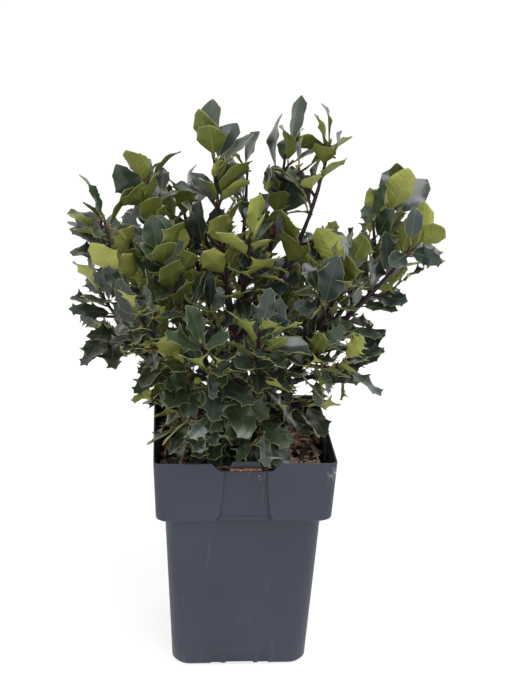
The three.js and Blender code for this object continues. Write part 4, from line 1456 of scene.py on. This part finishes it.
def bark_rings(path, radius_at, number, lobed=False):
    """Radii by ring and side: the limb's taper, a swollen collar, scars and an uneven round."""
    distance = np.concatenate([[0], np.cumsum(np.linalg.norm(np.diff(path, axis=0), axis=1))])[:, None]
    angle = (np.arange(BARK_SIDES) * 2 * math.pi / BARK_SIDES)[None]
    radii = np.broadcast_to(radius_at(distance), (len(path), BARK_SIDES))
    for waves in BARK_WAVES:
        phase, pitch = number() * 2 * math.pi, between((7, 23), number())
        turned = waves * angle + phase + distance * 2 * math.pi / pitch
        radii = radii + BARK_RELIEF / waves * np.sin(turned)
    for _ in range(int(distance[-1, 0] / SCAR_EVERY)):
        scar, side = number() * distance[-1, 0], number() * 2 * math.pi
        facing = np.clip(np.cos(angle - side), 0, 1)
        radii = radii + SCAR_HEIGHT * facing**3 * np.exp(-(((distance - scar) / SCAR_HALF) ** 2))
    if lobed:
        flare = smooth_step(1 - distance / (FLARE_HEIGHT + TRUNK_SUNK)) * FLARE_RADIUS
        radii = radii + flare * (0.75 + 0.25 * np.cos(FLARE_LOBES * angle))
    return radii


def trunk_radius(distance):
    return between(TRUNK_RADII, np.clip(distance / (path_length(trunk_path) + TRUNK_SUNK), 0, 1))


def bough_radius(whole):
    collar = COLLAR_SWELL * whole["plan"]["thick"]
    return lambda distance: radius_on(whole, distance) + collar * np.exp(-distance / COLLAR_LENGTH)


number = numbers_from(BARK_SEED)
foot = trunk_path[0] - UP * (TRUNK_SUNK + GAP)
bark_path = smooth_path(np.array([foot, TRUNK_TOP]), BARK_STEP)
limbs = [sweep(bark_path, bark_rings(bark_path, trunk_radius, number, lobed=True), BARK_SIDES)]
for plan in CROWN:
    whole = wholes[plan["name"]]
    if plan["bough"]:
        path = smooth_path(cut_path(whole["path"], 0, fork_of(whole) + BOUGH_OVER), BARK_STEP)
        limbs.append(sweep(path, bark_rings(path, bough_radius(whole), number), BARK_SIDES))
boughs = ["bough_" + plan["name"] for plan in CROWN if plan["bough"]]
bark = young_bark("smooth_dark_bark", "#2b2024", "#46473a")
make_piece("trunk_and_boughs", *join(limbs), [bark], finish="bark", replaced=["trunk"] + boughs)

# %% Make the stems, twigs and shoots
SHOOT_COLOURS = {"purple": "#2c1a20", "brown": "#3d2523", "olive": "#55502c"}
shoot_skins = [
    plain_skin(f"{name}_shoot_skin", colour, 0.45, grain=900.0, strength=0.3)
    for name, colour in SHOOT_COLOURS.items()
]
BARE_END = 2.5
ON_PATH = 0.1
THIN_STEP = 4
THIN_SEED = 41
SWELL = 0.1  # how uneven thin wood is, as a share of its radius
SWELL_TURN = 1.4  # radians of that wave to a millimetre
SIDES_BY_KIND = {"stem": 8, "twig": 6, "shoot": 5}
thin_wood, thin_slots, tips = [], [], []


def foot_along(path, point):
    """How far along a path the place nearest to a point is."""
    lines = np.diff(path, axis=0)
    sizes = np.linalg.norm(lines, axis=1)
    shares = np.clip(((point - path[:-1]) * lines).sum(axis=1) / sizes**2, 0, 1)
    nearest = np.linalg.norm(path[:-1] + shares[:, None] * lines - point, axis=1).argmin()
    return sizes[:nearest].sum() + shares[nearest] * sizes[nearest]


def bears_to(path, carried):
    """How far along a path its last leaf, or the foot of the last path that leaves it, is."""
    feet = [foot_along(path, other[0]) for other in carried if path_distances(other[:1], path)[0] < ON_PATH]
    return max([bearing.get(path.tobytes(), 0)] + feet)


def add_thin_wood(path, kind, radii, slot, end):
    """A tube along a path, cut a little after its last leaf."""
    end = min(end + BARE_END, path_length(path))
    path = smooth_path(cut_path(path, 0, end, THIN_STEP), THIN_STEP)
    share = np.linspace(0, 1, len(path))
    ringed = between(radii, share) * (1 + SWELL * np.sin(share * path_length(path) * SWELL_TURN))
    points, faces = sweep(path, ringed, SIDES_BY_KIND[kind])
    thin_wood.append((points, faces))
    thin_slots.extend([slot] * len(faces))
    tips.append((path[-1], unit(path[-1] - path[-2]), radii[1]))


number = numbers_from(THIN_SEED)
for plan in CROWN:
    name = plan["name"]
    whole = wholes[name]
    leafy_shoots = [shoot for shoot in shoots[name] if shoot.tobytes() in bearing]
    leafy_twigs = [twig for twig in twigs[name] if bears_to(twig, leafy_shoots)]
    carried = leafy_twigs + leafy_shoots + [spray for row_name, spray in sprays if row_name == name]
    radii = (radius_on(whole, fork_of(whole)), STEM_TIP_RADIUS)
    add_thin_wood(stems[name], "stem", radii, 0, bears_to(stems[name], carried))
    for twig in leafy_twigs:
        add_thin_wood(twig, "twig", TWIG_RADII, int(number() * 2), bears_to(twig, leafy_shoots))
    for shoot in leafy_shoots:
        add_thin_wood(shoot, "shoot", SHOOT_RADII, 1 + int(number() * 2), bearing[shoot.tobytes()])
for name, spray in sprays:
    end = bearing.get(spray.tobytes(), path_length(spray) / 2)
    add_thin_wood(spray, "twig", TWIG_RADII, int(number() * 2), end)
make_piece("twigs", *join(thin_wood), shoot_skins, thin_slots, finish="bark")

# %% [markdown]
# ## Leaves
#
# A holly leaf is a stiff, waxy blade with a few spines a side and shallow bays between them.
# Its edge is a thin pale cartilage that runs out into the spines, and it waves up and down
# from spine to spine. The upper face is dark and glossy with a sunken midrib, the underside
# matt olive with a raised one. A leaf could be a picture on a card, but its outline, margin
# and folds catch the light, so each is a small closed mesh, built as a grid. The leaves of
# several masses are joined in one piece, which stands for those masses' solids.

# %% The shape of a leaf
STALK_LENGTH = 6
STALK_RADII = (1.0, 0.75, 0.6)
STATIONS = 6  # rows of points to a spine
LEAST_STATIONS = 24
BLADE_THICK = 0.5
EDGE_WIDTH = 0.38
RIB_HALF = 0.55
RIB_RAISED = 0.35
BAY = 0.3  # how deep the bays between the spines are, as a share of the half width
SPINE_LENGTH = 2.2
SPINE_SWEEP = 2.0
TINTS = 3
COLUMNS = 8


def blade_rows(length, width, spines, form):
    """Points across the upper face from the stalk to the tip, in the leaf's own millimetres."""
    u = np.linspace(0, 1, max(STATIONS * spines, LEAST_STATIONS) + 1)[:, None]
    toothed = np.clip((u - form["smooth"]) / 0.2, 0, 1) * form["toothed"]
    spine = (1 - np.abs(np.cos(math.pi * spines * u))) ** 1.5 * toothed
    half = width / 2 * np.sin(math.pi * np.clip(u, 0.004, 0.996) ** form["fullest"]) ** 0.75
    half = half * (1 - BAY * toothed * (1 - spine)) + SPINE_LENGTH * spine**4
    edge, rib = np.minimum(EDGE_WIDTH, 0.3 * half), np.minimum(RIB_HALF * (1.1 - u), 0.2 * half)
    y = np.hstack([-half, edge - half, -half / 2, -rib, rib, half / 2, half - edge, half])
    out = np.abs(y) / (width / 2)
    blade = length - STALK_LENGTH
    x = STALK_LENGTH + u * blade + SPINE_SWEEP * spine**4 * out**3 * form["toothed"]
    lift = form["fold"] * np.abs(y) * (1 - 0.4 * u)
    wave = form["wave"] * np.sin(math.pi * spines * u + form["phase"] * (y > 0)) * out**2 * toothed
    z = lift + wave * blade + form["spine_up"] * spine**2 * out**3
    z = z - form["arch"] * blade * u**2 - form["curl"] * blade * np.clip(u - 0.55, 0, 1) ** 2
    z = z + form["twist"] * y * u
    return np.stack([x, y + form["sway"] * blade * u**2, z], axis=2)


def grid_faces(index):
    """Faces of four corners between the rows and columns of a grid of point numbers."""
    corners = [index[:-1, :-1], index[1:, :-1], index[1:, 1:], index[:-1, 1:]]
    return [tuple(face) for face in np.stack(corners, axis=2).reshape(-1, 4).tolist()]


def leaf_mesh(length, width, spines, form):
    """A closed blade with its stalk: points, faces, slots by part, and the veins' coordinates."""
    top = blade_rows(length, width, spines, form)
    stations = len(top)
    under = top.copy()
    under[..., 2] -= BLADE_THICK
    under[:, 3:5, 2] -= RIB_RAISED
    top_index = np.arange(stations * COLUMNS).reshape(stations, COLUMNS)
    under_index = top_index.copy()
    inner = np.arange((stations - 2) * (COLUMNS - 2)).reshape(stations - 2, COLUMNS - 2) + top_index.size
    under_index[1:-1, 1:-1] = inner
    points = np.vstack([top.reshape(-1, 3), under[1:-1, 1:-1].reshape(-1, 3)])
    faces = grid_faces(top_index) + [(a, d, c, b) for a, b, c, d in grid_faces(under_index)]
    kinds = np.tile(["edge", "upper", "upper", "rib", "upper", "upper", "edge"], stations - 1)
    parts = np.concatenate([kinds, np.char.add("under_", kinds)])
    stalk_end = (STALK_LENGTH + 1.5, 0, top[0, 3, 2] - 0.2)
    stalk_path = np.array([(0, 0, -0.2), (STALK_LENGTH / 2, 0, -0.1), stalk_end])
    stalk_points, stalk_faces = sweep(stalk_path, STALK_RADII, 4)
    faces += [tuple(corner + len(points) for corner in face) for face in stalk_faces]
    parts = np.concatenate([parts, np.full(len(stalk_faces), "stalk")])
    points = np.vstack([points, stalk_points])
    veins = np.stack([points[:, 0] - 0.9 * np.abs(points[:, 1]), np.abs(points[:, 1])], axis=1)
    return points, faces, parts, veins


# %% Materials of the leaves
VEIN_STEP = 5.5


def leaf_skin(name, colour, roughness, coat, vein_depth):
    """Waxy skin with a plain colour: side veins and fine puckers are only in its relief."""
    material = start_material(name)
    place = place_on(material)
    on_leaf = add_node(material, "ShaderNodeUVMap", uv_map="veins")
    bands = {"Vector": on_leaf.outputs[0], "Scale": 10 / VEIN_STEP / 3.14, "Distortion": 1.2, "Detail": 1.0}
    veins = add_node(material, "ShaderNodeTexWave", bands, wave_type="BANDS", bands_direction="X")
    patchy = noise(material, place, 55.0, 3.0)
    rough = remap(material, patchy, 0.3, 0.7, roughness - 0.07, roughness + 0.1)
    puckers = relief(material, noise(material, place, 160.0), 0.5, 1.0)
    bumps = relief(material, veins.outputs["Fac"], 0.5, vein_depth, under=puckers)
    coated = {"Coat_Weight": coat, "Coat_Roughness": 0.28}
    return close_material(material, linear(colour), rough, bumps, IOR=1.45, **coated)


leaf_materials = [
    leaf_skin("glossy_blue_green_leaf", "#232f2b", 0.34, 0.35, 0.08),
    leaf_skin("glossy_dark_green_leaf", "#1c251e", 0.31, 0.35, 0.08),
    leaf_skin("glossy_green_leaf", "#2b3a27", 0.36, 0.3, 0.08),
    leaf_skin("olive_leaf_underside", "#7c8239", 0.6, 0.0, 0.25),
    leaf_skin("pale_leaf_underside", "#999c4d", 0.6, 0.0, 0.25),
    leaf_skin("deep_leaf_underside", "#646a2d", 0.6, 0.0, 0.25),
    leaf_skin("pale_leaf_edge", "#7a7e4c", 0.5, 0.0, 0.0),
    leaf_skin("upper_midrib", "#47542c", 0.4, 0.0, 0.0),
    leaf_skin("raised_midrib", "#858c48", 0.5, 0.0, 0.0),
    leaf_skin("leaf_stalk", "#6d5a35", 0.5, 0.0, 0.0),
]
EDGE_SLOT, RIB_SLOT, UNDER_RIB_SLOT, STALK_SLOT = 6, 7, 8, 9

# %% Make the leaves
LEAF_GROUPS = 5
LEAF_SEED = 51
SPINY_BELOW = 280
SMOOTH_ABOVE = 420
SPINES = (4.4, 2.6)  # on each side, of the spiniest and of the tamest leaves
SPINES_VARY = 0.8
WIDTH_VARIES = (0.86, 1.0)
WIDTH_BY_TAME = (0.94, 1.06)


def form_of(leaf, number):
    """What makes each leaf differ. High leaves are broad and nearly smooth, low ones spiny."""
    end = leaf["kind"] in ("end", "spray")
    height = np.clip((leaf["frame"][0][2] - SPINY_BELOW) / (SMOOTH_ABOVE - SPINY_BELOW), 0, 1)
    tame = np.clip(height + 0.25 * end + (number() - 0.5) * 0.7, 0, 1)
    return {
        "tame": tame,
        "toothed": 1 - 0.42 * tame,
        "smooth": between((0.02, 0.34), tame),
        "fullest": between((0.88, 1.15), number()) + 0.25 * tame,
        "curl": between((-0.2, 1.1), number()) * tame,
        "sway": between((-0.14, 0.14), number()),
        "fold": between((0.12, 0.34) if end else (0.04, 0.26), number()),
        "wave": between((0.04, 0.12), number()) + 0.03 * tame,
        "phase": math.pi * round(number()),
        "spine_up": between((-0.5, 1.6), number()),
        "arch": between((-0.04, 0.12) if end else (0.02, 0.2), number()),
        "twist": between((-0.14, 0.14), number()),
    }


def build_leaf(leaf, number):
    foot, direction, face, size = leaf["frame"]
    length, width = LEAF_LENGTH * size, LEAF_WIDTH * size * between(WIDTH_VARIES, number())
    form = form_of(leaf, number)
    spines = round(between(SPINES, form["tame"]) + SPINES_VARY * (number() - 0.5))
    width = width * between(WIDTH_BY_TAME, form["tame"])
    points, faces, parts, veins = leaf_mesh(length, width, spines, form)
    across = np.cross(face, direction)
    points = foot + points @ np.array([direction, across, face])
    tint = leaf["tint"]
    slot_by_part = {
        "upper": tint, "under_upper": TINTS + tint, "edge": EDGE_SLOT, "under_edge": EDGE_SLOT,
        "rib": RIB_SLOT, "under_rib": UNDER_RIB_SLOT, "stalk": STALK_SLOT,
    }
    return points, faces, [slot_by_part[part] for part in parts], veins


def add_uv(piece, name, places):
    """A map that tells the material where on the leaf it is, in units of 10 mm."""
    mesh = piece.data
    corners = np.empty(len(mesh.loops), dtype=np.int32)
    mesh.loops.foreach_get("vertex_index", corners)
    layer = mesh.uv_layers.new(name=name)
    layer.data.foreach_set("uv", (places[corners] / 10).astype(np.float32).ravel())


number = numbers_from(LEAF_SEED)
tints = {}
for leaf in leaves.made:
    key = leaf["path"].tobytes()
    if key not in tints:
        tints[key] = int(number() * TINTS)
    leaf["tint"] = tints[key]
per_group = math.ceil(len(CROWN) / LEAF_GROUPS)
for group in range(LEAF_GROUPS):
    names = [plan["name"] for plan in CROWN[group * per_group : (group + 1) * per_group]]
    built = [build_leaf(leaf, number) for leaf in leaves.made if leaf["plan"]["name"] in names]
    points, faces = join([(one[0], one[1]) for one in built])
    slots = np.concatenate([one[2] for one in built])
    masses = ["foliage_" + name for name in names]
    piece = make_piece(f"leaves_{group + 1}", points, faces, leaf_materials, slots, replaced=masses)
    add_uv(piece, "veins", np.vstack([one[3] for one in built]))

# %% [markdown]
# ## Buds, pruned stubs and a dried stalk
#
# Holly carries its flower buds in small clusters where leaves join the shoot, reddish brown at
# this stage, and every shoot ends in a pointed bud. Two stubs show where a side shoot was cut
# off: the wood in the cut is pale green. One old leaf stalk has dried to straw. They are small,
# but the eye finds them between the leaves. Each bud is a short sweep of five sides.

# %% Materials of the buds
bud_materials = [
    plain_skin("reddish_bud", "#6e3f33", 0.5),
    plain_skin("brown_bud", "#5b4230", 0.6),
    plain_skin("green_bud", "#6f7a34", 0.5),
]
GREEN_BUD = 2

# %% Make the buds
BUD_LENGTH = (2.0, 3.4)
BUD_RADIUS = (0.8, 1.25)
BUD_SEED = 61
BUD_SIDES = 5
END_BUD = (4, 1.15)  # the bud at a shoot's end: length and radius, by the shoot's radius
AXIL_SHARE = 0.14  # how many leaves have a cluster of buds at their foot
AXIL_AT = (1.2, 1.1)  # where it sits: out along the leaf, and up from it
AXIL_TIMES = 0.8
BUD_SHAPE = np.array([(0, 0.55), (0.35, 1.0), (0.7, 0.75), (1, 0.12)])  # share along, share of radius
CLUSTER_BUDS = 9  # in each of the clusters that the photograph shows
CLUSTER_TIMES = 1.15
bud_meshes, bud_slots = [], []


def add_bud(point, direction, length, radius, slot):
    path = point + BUD_SHAPE[:, :1] * length * direction
    points, faces = sweep(path, BUD_SHAPE[:, 1] * radius, BUD_SIDES)
    bud_meshes.append((points, faces))
    bud_slots.extend([slot] * len(faces))


def add_cluster(point, heading, count, number, times):
    """Buds that spread from one point, all of one colour."""
    slot = int(number() * 2)
    for _ in range(count):
        direction = leave_stem(heading, number() * 360, between((35, 85), number()))
        length, radius = between(BUD_LENGTH, number()) * times, between(BUD_RADIUS, number()) * times
        add_bud(point + direction * radius, direction, length, radius, slot)


number = numbers_from(BUD_SEED)
for leaf in leaves.made:
    foot, direction, face, _ = leaf["frame"]
    if number() < AXIL_SHARE:
        foot = foot + direction * AXIL_AT[0] + face * AXIL_AT[1]
        add_cluster(foot, face, 3 + int(number() * 3), number, AXIL_TIMES)
for end, heading, radius in tips:
    add_bud(end - heading, heading, END_BUD[0] * radius, END_BUD[1] * radius, GREEN_BUD)
for name, share in BUD_CLUSTERS:
    whole = wholes[name]
    distance = whole["length"] * share
    toward = unit(np.array([0, -1, 0.3]))
    foot = along(whole["path"], distance)[0] + toward * radius_on(whole, distance)
    add_cluster(foot, toward, CLUSTER_BUDS, number, CLUSTER_TIMES)
make_piece("buds", *join(bud_meshes), bud_materials, bud_slots, finish="foliage")

# %% Make the pruned stubs and the dried stalk
STRAW = [(0, 0, 0), (4, -8, 1), (11, -17, -3), (19, -25, -10)]  # from its foot on the limb
STRAW_AT = 0.37
STRAW_STEP = 2.5
STRAW_RADIUS = 0.55
STUB_RADII = np.array([1.3, 1.1, 1, 1, 1])
STUB_SIDES = 14
cut_wood = plain_skin("pale_green_cut_wood", "#98a04a", 0.55)
straw = plain_skin("straw_dry_stalk", "#b59f72", 0.7)
cut_meshes, cut_slots = [], []
for name, share, way, length, radius in STUBS:
    point, _ = along(wholes[name]["path"], wholes[name]["length"] * share)
    steps = np.linspace(0, 1, len(STUB_RADII))[:, None]
    path = point + steps * length * unit(np.array(way))
    points, faces = sweep(path, radius * STUB_RADII, STUB_SIDES)
    cut_meshes.append((points, faces))
    cut_slots += [0] * (len(faces) - 1) + [1]
stalk_foot, _ = along(wholes["front_left"]["path"], wholes["front_left"]["length"] * STRAW_AT)
stalk_path = smooth_path(stalk_foot + np.array(STRAW), STRAW_STEP)
points, faces = sweep(stalk_path, np.full(len(stalk_path), STRAW_RADIUS), 6)
cut_meshes.append((points, faces))
cut_slots += [2] * len(faces)
make_piece("stubs_and_dry_stalk", *join(cut_meshes), [bark, cut_wood, straw], cut_slots, finish="bark")

# %% [markdown]
# ## Crumbs of bark on the pot
#
# Bark dust has gathered on the ledge behind the dip in the rim, and a few damp crumbs stick to
# the sunk field below it. Real crumbs show better than a painted stain, because they catch the
# light, and the same strips as in the mulch serve, much smaller.

# %% Make the crumbs
LEDGE = {"half": 12.8, "near": 71.3, "far": 73.8, "top": RIM_TOP - DIP_DEPTH}
LEDGE_CRUMBS = 120
CRUMB_SEED = 71
CRUMB_LENGTH = (1.2, 3.6)
CRUMB_WIDTH = (0.7, 1.5)
CRUMB_THICK = (0.4, 0.9)
STUCK = [(15.6, 189), (16.4, 186.5), (11.2, 187.6), (12.4, 184.5), (2.5, 190)]
crumb_materials = [bark_chip("copper_bark_dust", "#b07c5a"), bark_chip("dull_bark_dust", "#86604c")]
number = numbers_from(CRUMB_SEED)
crumb_points, crumb_faces, crumb_slots = [], [], []


def add_crumb(middle, direction, up, length, width, thick):
    rings = strip(middle, direction, up, length, width, thick, 0.1, number)
    faces = ring_faces(CHIP_RINGS, CHIP_SIDES, len(crumb_points))
    crumb_points.extend(point for ring in rings for point in ring)
    crumb_faces.extend(faces)
    crumb_slots.extend([int(number() * 2)] * len(faces))


for _ in range(LEDGE_CRUMBS):
    x, y = (2 * number() - 1) * LEDGE["half"], -between((LEDGE["near"], LEDGE["far"]), number())
    turn = (number() - 0.5) * 1.4
    direction = np.array([math.cos(turn), math.sin(turn) * 0.5, 0.0])
    length = between(CRUMB_LENGTH, number())
    side = LEDGE["half"] - length / 2
    middle = np.array([np.clip(x, -side, side), y, LEDGE["top"] + number()])
    width, thick = between(CRUMB_WIDTH, number()), between(CRUMB_THICK, number())
    add_crumb(middle, unit(direction), UP, length, width, thick)
for x, z in STUCK:
    plane = -(RECESS_PLANE + COLLAR_DRAFT * (z - COLLAR_FOOT)) - 0.1
    add_crumb(np.array([x, plane, z]), unit(np.array([0.4, 0, 1.0])), np.array([0, -1.0, 0]), 2.0, 0.9, 0.5)
make_piece(
    "bark_crumbs", crumb_points, crumb_faces, crumb_materials, crumb_slots, smooth=False, finish="compost"
)
